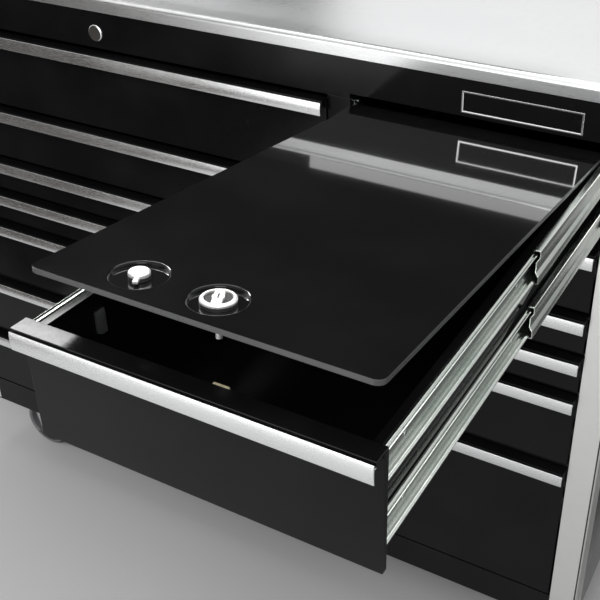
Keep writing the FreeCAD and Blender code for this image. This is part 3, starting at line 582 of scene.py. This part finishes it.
def merged_copy(node: str, name: str) -> bpy.types.Object:
    """Copies a CAD node as a mesh of joined, flat faces.

    Args:
        node: CAD node.
        name: Name of the copy.

    Returns:
        The new object.
    """
    source = NODES[node]
    piece = bpy.data.objects.new(name, source.data.copy())
    bpy.context.scene.collection.objects.link(piece)
    piece.matrix_world = source.matrix_world
    only(piece)
    bpy.ops.object.mode_set(mode="EDIT")
    bpy.ops.mesh.select_all(action="SELECT")
    bpy.ops.mesh.remove_doubles(threshold=MERGE_DISTANCE)
    bpy.ops.mesh.dissolve_limited(angle_limit=FLAT_ANGLE)
    done_editing()
    if piece.data.has_custom_normals:
        bpy.ops.mesh.customdata_custom_splitnormals_clear()
    return piece


def loose_parts(piece: bpy.types.Object) -> list[bpy.types.Object]:
    """Splits a piece into its separate solids.

    Args:
        piece: Mesh object.

    Returns:
        The solids, the largest box first.
    """
    only(piece)
    bpy.ops.object.mode_set(mode="EDIT")
    bpy.ops.mesh.select_all(action="SELECT")
    bpy.ops.mesh.separate(type="LOOSE")
    done_editing()
    return sorted(bpy.context.selected_objects, key=lambda part: -part.dimensions.x * part.dimensions.z)


def joined(parts: list[bpy.types.Object]) -> bpy.types.Object:
    """Joins parts into one object.

    Args:
        parts: The parts, of which the first stays.

    Returns:
        The joined object.
    """
    only(parts[0])
    for part in parts:
        part.select_set(True)
    if len(parts) > 1:
        bpy.ops.object.join()
    return bpy.context.view_layer.objects.active


def middle_of(node: str) -> Vector:
    """Returns the middle of a node's box."""
    low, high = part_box(node)
    return (Vector(low) + Vector(high)) / 2


# Sub-assemblies


@dataclass
class Shell:
    """Body of the cabinet: walls, base, header, posts and worktop."""

    sheet_round: float = 0.0006
    post_round: float = 0.0012
    top_round: float = 0.0008
    # Black strip down each corner post, painted shade for its shadowed groove: its inset, width and how far it
    # stands proud
    groove_shade_inset: float = 0.0012
    groove_shade_width: float = 0.0026
    groove_shade_proud: float = 0.0003
    plate_size: tuple[float, float] = (0.182, 0.033)
    plate_rise: float = 0.0139
    plate_left: float = 0.182
    plate_thick: float = 0.0014
    plate_round: float = 0.0003
    border_width: float = 0.0022
    border_slope: float = 0.0004
    field_depth: float = 0.0006

    def build(self) -> None:
        """Dresses the body's nodes and adds the bare plate on the header."""
        panels = ("side_panel_left", "side_panel_right", "centre_divider", "back_panel", "front_header", "base_pan")
        for node in panels:
            piece = merged_copy(node, node + "_coated")
            rounded_edges(piece, self.sheet_round)
            stand_for(settle(piece, node + "_coated", POWDER_COAT), Slot.BLACK, "cabinet", node)
        posts = merged_copy("corner_posts", "corner_posts_bright")
        rounded_edges(posts, self.post_round)
        stand_for(settle(posts, "corner_posts_bright", POST_METAL), Slot.ALUMINIUM, "cabinet", "corner_posts")
        self.groove_shade_strips()
        worktop = merged_copy("worktop", "worktop_brushed")
        rounded_edges(worktop, self.top_round, 3)
        stand_for(settle(worktop, "worktop_brushed", WORKTOP_STEEL), Slot.STAINLESS, "cabinet", "worktop")
        self.bare_plate()

    def groove_shade_strips(self) -> None:
        """Models a black strip down the outer edge of each corner post: painted shade standing in for the shadowed
        groove there.
        """
        low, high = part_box("corner_posts")
        near, far = low[1] - self.groove_shade_proud, low[1] + self.groove_shade_proud
        strips = []
        for outer, step in ((low[0], 1), (high[0], -1)):
            one = outer + step * self.groove_shade_inset
            left, right = sorted((one, one + step * self.groove_shade_width))
            strip = bar((left, near, low[2]), (right, far, high[2]))
            pick_faces(strip, (0.0, -1.0, 0.0))
            bpy.ops.mesh.inset(thickness=self.groove_shade_width / 5, depth=-0.6 * self.groove_shade_proud)
            done_editing()
            strips.append(strip)
        stand_for(settle(joined(strips), "corner_post_groove_shade", SHADE_BLACK), Slot.BLACK, "cabinet")

    def bare_plate(self) -> None:
        """Models the blank name plate: a dark field inside a raised bright border."""
        front_low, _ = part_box("right_drawer_1")
        header_low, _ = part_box("front_header")
        wide, tall = self.plate_size
        left, foot, face = front_low[0] + self.plate_left, header_low[2] + self.plate_rise, header_low[1]
        plate = bar((left, face - self.plate_thick, foot), (left + wide, face, foot + tall))
        pick_faces(plate, (0.0, -1.0, 0.0))
        bpy.ops.mesh.inset(thickness=self.border_width, depth=0.0)
        bpy.ops.mesh.inset(thickness=self.border_slope, depth=-self.field_depth)
        done_editing()
        rounded_edges(plate, self.plate_round)
        settle(plate, "blank_plate", CHROME)
        plate.data.materials.append(POWDER_COAT.material())
        for polygon in plate.data.polygons:
            if polygon.normal.y < -FACING and polygon.area > 0.5 * wide * tall:
                polygon.material_index = 1
        stand_for(plate, Slot.CHROME, "cabinet")


@dataclass
class Slides:
    """Members of the ball-bearing slides, each rolled once for a hand and copied to its places."""

    wall: float = 0.0012
    fold_round: float = 0.00018
    rivet_radius: float = 0.0027
    rivet_height: float = 0.0009
    rivet_places: tuple[float, ...] = (0.046, 0.33, 0.632)
    patterns: dict[tuple[Member, int, float], bpy.types.Object] = field(default_factory=dict)

    def rolled(self, member: Member, hand: int, length: float) -> bpy.types.Object:
        """Rolls a member's section.

        Args:
            member: Which member.
            hand: 1 where the cabinet's wall is on the right of the box, -1 where it is on its left.
            length: Length of the member.

        Returns:
            The pattern, with the box's side at its origin.
        """
        line = [(hand * out, 0.0, up) for out, up in member.value]
        line += [(hand * out, 0.0, -up) for out, up in reversed(member.value)]
        piece = swept(line, length, self.wall)
        rounded_edges(piece, self.fold_round, 1)
        if member is Member.DRAWER:
            outwards = Matrix.Rotation(hand * math.pi / 2, 4, "Y")
            heads = []
            for place in self.rivet_places:
                middle = Matrix.Translation((hand * (self.wall + self.rivet_height / 2), place, 0.0))
                head = disc(self.rivet_radius, self.rivet_height, middle @ outwards, 20)
                rounded_edges(head, 0.8 * self.rivet_height, 3)
                heads.append(head)
            piece = joined([piece, *heads])
        return piece

    def member(self, blank: bpy.types.Object, member: Member, middle: float) -> bpy.types.Object:
        """Puts a rolled member where a plain one is.

        Args:
            blank: Plain solid of the member, which is removed.
            member: Which member.
            middle: Place of the drawer's middle along X.

        Returns:
            The rolled member.
        """
        low, high = Vector(blank.bound_box[0]), Vector(blank.bound_box[6])
        hand = 1 if (low.x + high.x) / 2 > middle else -1
        length = high.y - low.y
        side = high.x - REACH[member] if hand > 0 else low.x + REACH[member]
        key = (member, hand, round(length, 4))
        if key not in self.patterns:
            self.patterns[key] = self.rolled(member, hand, length)
        bpy.data.objects.remove(blank)
        return placed_copy(self.patterns[key], (side, low.y, (low.z + high.z) / 2))

    def clear(self) -> None:
        """Removes the patterns once all copies are made."""
        for pattern in self.patterns.values():
            bpy.data.objects.remove(pattern)
        self.patterns.clear()


@dataclass
class Drawers:
    """All drawers with their pulls and slides."""

    sheet_round: float = 0.0006
    pull_round: float = 0.0008
    narrowest_box: float = 0.3
    shortest_member: float = 0.5
    wall_inset: float = 0.0107
    catch_size: Point = (0.003, 0.014, 0.027)
    catch_back: float = 0.101
    catch_drop: float = 0.037
    catch_taper: float = 0.003
    catch_step: Point = (0.0, 0.002, -0.006)
    catch_round: float = 0.0005
    slides: Slides = field(default_factory=Slides)

    def build(self) -> None:
        """Dresses each drawer, its pull and its slides."""
        for bank in Bank:
            side, count = bank.value
            for row in range(1, count + 1):
                self.drawer(f"{side}_drawer_{row}")
        blanks = loose_parts(merged_copy("cabinet_slide_members", "cabinet_members_copy"))
        divider = middle_of("centre_divider").x
        middles = [middle_of(f"{bank.value[0]}_drawer_1").x for bank in Bank]
        members = []
        for blank in blanks:
            here = (blank.bound_box[0][0] + blank.bound_box[6][0]) / 2
            middle = next(middle for middle in middles if (middle < divider) == (here < divider))
            members.append(self.slides.member(blank, Member.CABINET, middle))
        zinc = settle(joined(members), "cabinet_members_zinc", SLIDE_ZINC)
        stand_for(zinc, Slot.ZINC, "cabinet", "cabinet_slide_members")
        self.slides.clear()

    def drawer(self, label: str) -> None:
        """Dresses one drawer.

        Args:
            label: Node of the drawer's box.
        """
        middle = middle_of(label).x
        parts = loose_parts(merged_copy(label, label + "_copy"))
        boxes = [part for part in parts if part.dimensions.x > self.narrowest_box]
        rest = [part for part in parts if part.dimensions.x <= self.narrowest_box]
        blanks = [part for part in rest if part.dimensions.y > self.shortest_member]
        strikes = [part for part in rest if part.dimensions.y <= self.shortest_member]
        box = joined(boxes)
        rounded_edges(box, self.sheet_round)
        stand_for(settle(box, label + "_coated", POWDER_COAT), Slot.BLACK, label, label)
        zinc = joined([self.slides.member(blank, Member.DRAWER, middle) for blank in blanks])
        stand_for(settle(zinc, label + "_members", SLIDE_ZINC), Slot.ZINC, label, label)
        for strike in strikes:
            rounded_edges(strike, self.sheet_round)
            stand_for(settle(strike, label + "_strike", STRIKE_METAL), Slot.ZINC, label, label)
        if strikes:
            self.catch(label)
        pull = merged_copy(label + "_pull", label + "_pull_copy")
        rounded_edges(pull, self.pull_round, 3)
        stand_for(settle(pull, label + "_pull_bright", PULL_METAL), Slot.ALUMINIUM, label, label + "_pull")
        blanks = loose_parts(merged_copy(label + "_slides", label + "_slides_copy"))
        zinc = joined([self.slides.member(blank, Member.MIDDLE, middle) for blank in blanks])
        stand_for(settle(zinc, label + "_slides_zinc", SLIDE_ZINC), Slot.ZINC, label + "_slides", label + "_slides")

    def catch(self, label: str) -> None:
        """Models the small catch plate inside the lidded drawer's left wall.

        Args:
            label: Node of the drawer's box.
        """
        low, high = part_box(label)
        deep, long, tall = self.catch_size
        wall, near, top = low[0] + self.wall_inset, low[1] + self.catch_back, high[2] - self.catch_drop
        plate = bar((wall, near, top - tall), (wall + deep, near + long, top))
        pick_faces(plate, (1.0, 0.0, 0.0))
        bpy.ops.mesh.inset(thickness=self.catch_taper, depth=self.catch_taper / 2)
        bpy.ops.transform.translate(value=self.catch_step)
        done_editing()
        rounded_edges(plate, self.catch_round)
        stand_for(settle(plate, label + "_catch", CASTER_ZINC), Slot.ZINC, label)


@dataclass
class Lid:
    """Hinged lid with its lock and knob.

    The lock and the knob are modelled along their joints' axes, and heights in them count from their crowns.
    """

    turners: tuple[str, str] = ("lid_lock_turn", "lid_knob_turn")
    sheet_round: float = 0.0011
    flank: float = 0.75
    dish_radius: float = 0.0285
    dish_round: float = 0.0032
    dish_paint: float = 0.0399
    dish_search: float = 0.03705
    rim_width: float = 0.0004
    rim_depth: float = 0.0003
    hinge_round: float = 0.0003
    head_turn: float = 26.0
    grip_round: float = 0.0009
    lock_round: float = 0.0009
    # The lock's side wall is painted shade from this far below its crown downwards
    lock_neck_shade: float = 0.0034
    bar_size: Point = (0.0105, 0.0268, 0.0042)
    bar_rise: float = 0.0004
    # The lock's recess floor is painted black as painted shade within this radius and this span below the crown
    recess_radius: float = 0.0139
    recess_span: tuple[float, float] = (0.0032, 0.0008)
    plug_size: tuple[float, float] = (0.0062, 0.0044)
    plug_rise: float = 0.0026
    plug_round: float = 0.0006
    # Black bar on the key plug, painted shade for the keyway: its size, rise above the recess floor and rounding
    slot_size: Point = (0.0014, 0.0085, 0.0006)
    slot_rise: float = 0.0046
    slot_round: float = 0.0001
    # Bar faces above this rise over the recess floor stay chrome; lower ones get the painted shade
    bright_rise: float = 0.002
    knob_round: float = 0.0024
    # The knob's side wall is painted shade from this far below its crown downwards
    knob_neck_shade: float = 0.0045
    pointer_size: Point = (0.0056, 0.018, 0.0036)
    pointer_drop: float = 0.003

    def build(self) -> None:
        """Dresses the lid, its hinge, the lock and the knob."""
        lid = merged_copy("drawer_lid", "drawer_lid_coated")
        for turner in self.turners:
            self.soften_dish(lid, self.frame_of(turner))
        rounded_edges(lid, self.sheet_round, 3)
        settle(lid, "drawer_lid_coated", LID_COAT)
        # Painted sheen: faces that don't look up, outside the dishes, get the lighter grey edge coat
        lid.data.materials.append(LID_EDGE_SHEEN.material())
        up = Vector(JOINTS[self.turners[0]]["axis"])
        for polygon in lid.data.polygons:
            if abs(polygon.normal.dot(up)) < self.flank and not self.in_dish(polygon.center):
                polygon.material_index = 1
        stand_for(lid, Slot.BLACK, "lid", "drawer_lid")
        hinge = merged_copy("lid_hinge", "lid_hinge_zinc")
        rounded_edges(hinge, self.hinge_round)
        stand_for(settle(hinge, "lid_hinge_zinc", SLIDE_ZINC), Slot.ZINC, "right_drawer_1", "lid_hinge")
        self.lock()
        self.knob()

    def frame_of(self, joint: str) -> Matrix:
        """Returns a frame with a turning joint's axis as its Z.

        Args:
            joint: Joint's name.

        Returns:
            Frame in the scene.
        """
        known = JOINTS[joint]
        up = Vector(known["axis"]).normalized()
        side = Vector((1.0, 0.0, 0.0))
        ahead = up.cross(side)
        turn = Matrix((side, ahead, up)).transposed().to_4x4()
        return Matrix.Translation(known["pos_m"]) @ turn

    def in_dish(self, point: Vector) -> bool:
        """Tells whether a point belongs to the dish of the lock or the knob."""
        middles = (Vector(JOINTS[turner]["pos_m"]) for turner in self.turners)
        return any((point - middle).length < self.dish_paint for middle in middles)

    def paint_neck_shade(self, piece: bpy.types.Object, place: Matrix, height: float) -> None:
        """Parts a turned head's side wall and paints it black below a height: painted shade for the shadow under
        the head.

        Args:
            piece: The head, whose second finish is the dark one.
            place: Frame of its axis.
            height: Where the painted shade ends.
        """
        only(piece)
        bpy.ops.object.mode_set(mode="EDIT")
        bpy.ops.mesh.select_all(action="SELECT")
        axis = (place.to_3x3() @ Vector((0.0, 0.0, 1.0))).normalized()
        bpy.ops.mesh.bisect(plane_co=place @ Vector((0.0, 0.0, height)), plane_no=axis)
        done_editing()
        back = place.inverted()
        for polygon in piece.data.polygons:
            local = back @ polygon.center
            if 0.0 < local.z < height:
                polygon.material_index = 1

    def soften_dish(self, lid: bpy.types.Object, place: Matrix) -> None:
        """Rounds the pressed rim of a dish.

        Args:
            lid: The lid.
            place: Frame of the dish.
        """
        back = place.inverted() @ lid.matrix_world
        points = [back @ vertex.co for vertex in lid.data.vertices]
        top = max(point.z for point in points if math.hypot(point.x, point.y) < self.dish_search)

        def on_rim(point: Vector) -> bool:
            """Tells whether a point is on the dish's upper rim.

            Args:
                point: Point in the lid's mesh.

            Returns:
                Whether it is.
            """
            local = back @ point
            off = abs(math.hypot(local.x, local.y) - self.dish_radius)
            return off < self.rim_width and abs(local.z - top) < self.rim_depth

        pick_edges(lid, on_rim)
        bpy.ops.mesh.bevel(offset=self.dish_round, segments=5, affect="EDGES")
        done_editing()

    def grip(self, size: Point, place: Matrix, round_off: float) -> bpy.types.Object:
        """Models a rounded finger grip.

        Args:
            size: Width, length and height.
            place: Frame of the middle of its base.
            round_off: Width of its rounding.

        Returns:
            The grip.
        """
        wide, long, high = size
        piece = bar((-wide / 2, -long / 2, 0.0), (wide / 2, long / 2, high))
        pick_faces(piece, (0.0, 0.0, 1.0))
        bpy.ops.mesh.inset(thickness=wide * 0.14, depth=high * 0.12)
        done_editing()
        rounded_edges(piece, round_off, 4)
        piece.matrix_world = place
        only(piece)
        bpy.ops.object.transform_apply(location=True, rotation=True, scale=True)
        return piece

    def lock(self) -> None:
        """Models the lock: its ring, the bar across the recess and the key plug in the bar, with painted shade on
        the recess floor, the keyway and the neck.
        """
        place = self.frame_of(self.turners[0])
        body = merged_copy("lid_lock", "lid_lock_chrome")
        back = place.inverted()
        crown = max((back @ vertex.co).z for vertex in body.data.vertices)
        rounded_edges(body, self.lock_round, 3)
        turn = place @ Matrix.Rotation(math.radians(self.head_turn), 4, "Z")
        floor = crown - self.bar_size[2] + self.bar_rise
        grip = self.grip(self.bar_size, turn @ Matrix.Translation((0.0, 0.0, floor)), self.grip_round)
        radius, depth = self.plug_size
        plug = disc(radius, depth, turn @ Matrix.Translation((0.0, 0.0, floor + self.plug_rise)), 32)
        rounded_edges(plug, self.plug_round, 3)
        # Painted shade: a thin black bar on the plug stands in for the shadowed keyway
        slot_base = turn @ Matrix.Translation((0.0, 0.0, floor + self.slot_rise))
        slot = self.grip(self.slot_size, slot_base, self.slot_round)
        chrome = settle(joined([body, grip, plug]), "lid_lock_chrome", SATIN_CHROME)
        chrome.data.materials.append(SHADE_BLACK.material())
        # Painted shade: recess floor faces, all but the bar's top, are painted black for the shadow in the recess
        low, high = (crown - drop for drop in self.recess_span)
        for polygon in chrome.data.polygons:
            local = back @ polygon.center
            away = math.hypot(local.x, local.y)
            if away < self.recess_radius and low < local.z < high and abs(polygon.normal.z) > FACING:
                in_grip = abs((turn.inverted() @ polygon.center).x) < self.bar_size[0] / 2
                polygon.material_index = 0 if in_grip and local.z > floor + self.bright_rise else 1
        # Painted shade: the ring's side wall below its crown is painted black
        self.paint_neck_shade(chrome, place, crown - self.lock_neck_shade)
        stand_for(chrome, Slot.CHROME, "lid_lock", "lid_lock")
        stand_for(settle(slot, "lid_lock_keyway_shade", SHADE_BLACK), Slot.CHROME, "lid_lock", "lid_lock")

    def knob(self) -> None:
        """Models the knob: its domed head, with painted shade on its neck, and its pointer."""
        place = self.frame_of(self.turners[1])
        body = merged_copy("lid_knob", "lid_knob_chrome")
        crown = max((place.inverted() @ vertex.co).z for vertex in body.data.vertices)
        rounded_edges(body, self.knob_round, 5)
        turn = place @ Matrix.Rotation(math.radians(self.head_turn), 4, "Z")
        _, long, high = self.pointer_size
        ahead = Matrix.Translation((0.0, -long / 2, crown - high - self.pointer_drop))
        pointer = self.grip(self.pointer_size, turn @ ahead, self.grip_round)
        chrome = settle(body, "lid_knob_chrome", SATIN_CHROME)
        chrome.data.materials.append(SHADE_BLACK.material())
        # Painted shade: the head's side wall below its crown is painted black
        self.paint_neck_shade(chrome, place, crown - self.knob_neck_shade)
        settle(pointer, "lid_knob_pointer", SATIN_CHROME)
        stand_for(joined([chrome, pointer]), Slot.CHROME, "knob", "lid_knob")


@dataclass
class HeaderLock:
    """Central lock in the header."""

    edge_round: float = 0.0008

    def build(self) -> None:
        """Dresses the lock."""
        plug = merged_copy("central_lock", "central_lock_chrome")
        rounded_edges(plug, self.edge_round, 3)
        stand_for(settle(plug, "central_lock_chrome", CHROME), Slot.CHROME, "central_lock", "central_lock")


@dataclass
class Casters:
    """Casters under the body."""

    hub_radius: float = 0.046
    edge_round: float = 0.0007
    plate_across: float = 0.6269
    plate_along: tuple[float, float] = (0.0603, 0.6423)
    plate_thick: float = 0.004
    bolt_radius: float = 0.0062
    bolt_height: float = 0.0035
    bolt_round: float = 0.0005
    bolt_places: tuple[float, float] = (0.044, 0.038)

    def build(self) -> None:
        """Dresses the wheels, forks and plates."""
        for end in ("front", "rear"):
            fork = merged_copy(f"swivel_fork_{end}", f"swivel_fork_{end}_zinc")
            rounded_edges(fork, self.edge_round)
            settle(fork, f"swivel_fork_{end}_zinc", CASTER_ZINC)
            stand_for(fork, Slot.ZINC, f"swivel_{end}", f"swivel_fork_{end}")
            for hand in ("left", "right"):
                self.wheel(f"wheel_{end}_{hand}")
        plates = merged_copy("caster_plates", "caster_plates_zinc")
        rounded_edges(plates, self.edge_round)
        plates = joined([plates, *self.bolts()])
        stand_for(settle(plates, "caster_plates_zinc", CASTER_ZINC), Slot.ZINC, "cabinet", "caster_plates")

    def wheel(self, node: str) -> None:
        """Dresses a wheel: rubber tread round a moulded hub.

        Args:
            node: Node of the wheel.
        """
        wheel = merged_copy(node, node + "_tread")
        rounded_edges(wheel, self.edge_round)
        settle(wheel, node + "_tread", TREAD)
        wheel.data.materials.append(HUB.material())
        middle = middle_of(node)
        for polygon in wheel.data.polygons:
            away = math.hypot(polygon.center.y - middle.y, polygon.center.z - middle.z)
            polygon.material_index = 1 if away < self.hub_radius else 0
        stand_for(wheel, Slot.RUBBER, node, node)

    def bolts(self) -> list[bpy.types.Object]:
        """Models the hexagonal bolt heads under the corners of each caster's plate.

        Returns:
            The heads.
        """
        _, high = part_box("caster_plates")
        head = disc(self.bolt_radius, self.bolt_height, Matrix.Identity(4), 6)
        rounded_edges(head, self.bolt_round)
        level = high[2] - self.plate_thick - self.bolt_height / 2
        across, along = self.bolt_places
        heads = []
        for row, side, step_x, step_y in product(self.plate_along, (-1, 1), (-1, 1), (-1, 1)):
            spot = (side * self.plate_across + step_x * across, row + step_y * along, level)
            heads.append(placed_copy(head, spot))
        bpy.data.objects.remove(head)
        return heads


@dataclass(frozen=True)
class Card:
    """Card that only shows as a reflection: a glow of 0 makes it a dark flag."""

    name: str
    tone: Colour
    glow: float
    corners: tuple[Point, Point, Point, Point]


@dataclass(frozen=True)
class Lamp:
    """Square softbox: its middle, the point that it looks at, its side in metres and its watts."""

    name: str
    place: Point
    aim: Point
    size: float
    power: float
    in_gloss: bool = True


@dataclass
class Studio:
    """Floor, lamps, world and camera."""

    floor_tone: Colour = (0.43, 0.43, 0.43)
    world_tone: Colour = (0.9, 0.9, 0.9)
    ambient: float = 0.55
    camera_place: Point = (0.95696, -1.26159, 1.63770)
    focal_pixels: float = 964.44
    centre: tuple[float, float] = (375.56, 255.74)
    cards: tuple[Card, ...] = (
        Card(
            "high_bright_card", (0.9, 0.9, 0.9), 24.0,
            ((-2.3, 0.58, 2.56), (-1.25, 1.46, 2.56), (-1.25, 1.46, 3.12), (-2.3, 0.58, 3.12)),
        ),
        Card(
            "back_flag", (0.01, 0.01, 0.01), 0.0,
            ((-1.5, 0.05, 1.24), (0.605, 0.05, 1.24), (0.32, 0.05, 1.79), (-1.5, 0.05, 1.79)),
        ),
        Card(
            "front_flag", (0.07, 0.06, 0.05), 0.0,
            ((-6.5, -3.0, 0.0), (-2.3, -3.0, 0.0), (-1.35, -3.0, 4.0), (-6.5, -3.0, 4.0)),
        ),
        Card(
            "floor_flag", (0.06, 0.055, 0.05), 0.0,
            ((-4.0, -3.0, 0.01), (-1.1, -3.0, 0.01), (-1.1, -0.6, 0.01), (-4.0, -0.6, 0.01)),
        ),
        Card(
            "side_flag", (0.12, 0.12, 0.12), 0.0,
            ((0.8, 0.0, 0.01), (2.6, 0.0, 0.01), (2.6, 3.5, 0.01), (0.8, 3.5, 0.01)),
        ),
        Card(
            "rear_flag", (0.03, 0.03, 0.03), 0.0,
            ((-6.5, 3.0, 1.0), (-1.55, 3.0, 1.0), (-1.45, 3.0, 4.2), (-6.5, 3.0, 4.2)),
        ),
    )
    softboxes: tuple[Lamp, ...] = (
        Lamp("key_softbox", (1.6, -2.6, 3.2), (0.2, -0.4, 0.8), 1.8, 70.0),
        Lamp("fill_softbox", (-2.8, -1.8, 2.4), (0.0, -0.2, 0.8), 2.0, 35.0, in_gloss=False),
        Lamp("top_softbox", (0.0, 0.6, 3.4), (0.0, 0.0, 1.0), 2.4, 50.0),
        Lamp("low_front_softbox", (-0.6, -3.05, 1.05), (0.4, -0.3, 0.9), 2.1, 24.0),
    )
    view_axes: tuple[Point, Point, Point] = (
        (0.8862162, 0.46312434, 0.01169182),
        (0.2399864, -0.43734861, -0.86667913),
        (-0.3962668, 0.77087097, -0.49872896),
    )

    def build(self) -> None:
        """Builds the studio."""
        self.floor()
        self.world()
        self.lamps()
        for card in self.cards:
            self.card(card)
        self.camera()

    def floor(self) -> None:
        """Lays the plain floor."""
        bpy.ops.object.select_all(action="DESELECT")
        bpy.ops.mesh.primitive_plane_add(size=30.0)
        ground = bpy.context.object
        ground.name = "studio_floor"
        made = bpy.data.materials.new("floor_paint")
        made.use_nodes = True
        shader = made.node_tree.nodes["Principled BSDF"]
        shader.inputs["Base Color"].default_value = (*self.floor_tone, 1.0)
        shader.inputs["Roughness"].default_value = 0.7
        shader.inputs["Specular IOR Level"].default_value = 0.2
        ground.data.materials.append(made)

    def world(self) -> None:
        """Makes the pale surroundings."""
        world = bpy.data.worlds.new("studio_world")
        bpy.context.scene.world = world
        world.use_nodes = True
        tree = world.node_tree
        output = tree.nodes["World Output"]
        light = tree.nodes["Background"]
        light.inputs["Color"].default_value = (*self.world_tone, 1.0)
        light.inputs["Strength"].default_value = self.ambient
        seen = tree.nodes.new("ShaderNodeBackground")
        seen.inputs["Color"].default_value = (*self.world_tone, 1.0)
        seen.inputs["Strength"].default_value = 1.0
        rays = tree.nodes.new("ShaderNodeLightPath")
        either, any_ray = (tree.nodes.new("ShaderNodeMath") for _ in range(2))
        either.operation = any_ray.operation = "MAXIMUM"
        mix = tree.nodes.new("ShaderNodeMixShader")
        link_chain(
            tree,
            (rays.outputs["Is Camera Ray"], either.inputs[0]),
            (rays.outputs["Is Transmission Ray"], either.inputs[1]),
            (either.outputs[0], any_ray.inputs[0]),
            (rays.outputs["Is Glossy Ray"], any_ray.inputs[1]),
            (any_ray.outputs[0], mix.inputs[0]),
            (light.outputs[0], mix.inputs[1]),
            (seen.outputs[0], mix.inputs[2]),
            (mix.outputs[0], output.inputs["Surface"]),
        )

    def lamps(self) -> None:
        """Hangs the soft lamps."""
        for box in self.softboxes:
            lamp = bpy.data.lights.new(box.name, "AREA")
            lamp.shape = "SQUARE"
            lamp.size = box.size
            lamp.energy = box.power
            holder = bpy.data.objects.new(box.name, lamp)
            holder.location = box.place
            way = Vector(box.aim) - Vector(box.place)
            holder.rotation_euler = way.to_track_quat("-Z", "Y").to_euler()
            holder.visible_glossy = box.in_gloss
            bpy.context.scene.collection.objects.link(holder)

    def card(self, card: Card) -> None:
        """Stands a card.

        Args:
            card: Its name, colour, glow and corners.
        """
        bpy.ops.object.select_all(action="DESELECT")
        bpy.ops.mesh.primitive_plane_add(size=1.0)
        sheet = bpy.context.object
        sheet.name = card.name
        for vertex, corner in zip((0, 1, 3, 2), card.corners):
            sheet.data.vertices[vertex].co = corner
        made = bpy.data.materials.new(card.name + "_paint")
        made.use_nodes = True
        shader = made.node_tree.nodes["Principled BSDF"]
        shader.inputs["Base Color"].default_value = (*card.tone, 1.0)
        shader.inputs["Roughness"].default_value = 1.0
        shader.inputs["Specular IOR Level"].default_value = 0.0
        shader.inputs["Emission Color"].default_value = (*card.tone, 1.0)
        shader.inputs["Emission Strength"].default_value = card.glow
        sheet.data.materials.append(made)
        sheet.visible_camera = sheet.visible_diffuse = sheet.visible_shadow = False
        sheet.visible_transmission = sheet.visible_volume_scatter = False

    def camera(self) -> None:
        """Sets the camera as the photograph was taken."""
        lens = bpy.data.cameras.new("photograph_view")
        lens.sensor_width = SENSOR_WIDTH
        lens.lens = self.focal_pixels / FRAME_PIXELS * SENSOR_WIDTH
        lens.shift_x = 0.5 - self.centre[0] / FRAME_PIXELS
        lens.shift_y = self.centre[1] / FRAME_PIXELS - 0.5
        lens.clip_start = 0.02
        holder = bpy.data.objects.new("photograph_view", lens)
        right, down, ahead = (Vector(axis) for axis in self.view_axes)
        turn = Matrix((right, -down, -ahead)).transposed().to_4x4()
        holder.matrix_world = Matrix.Translation(self.camera_place) @ turn
        bpy.context.scene.collection.objects.link(holder)
        bpy.context.scene.camera = holder
        bpy.context.scene.view_settings.view_transform = "Standard"


def main() -> None:
    """Builds the whole scene in order."""
    logging.basicConfig(level=logging.INFO, format="%(message)s")
    for part in (Studio(), Shell(), Drawers(), Lid(), HeaderLock(), Casters()):
        log.info("building %s", type(part).__name__)
        part.build()


if __name__ == "__main__":
    main()
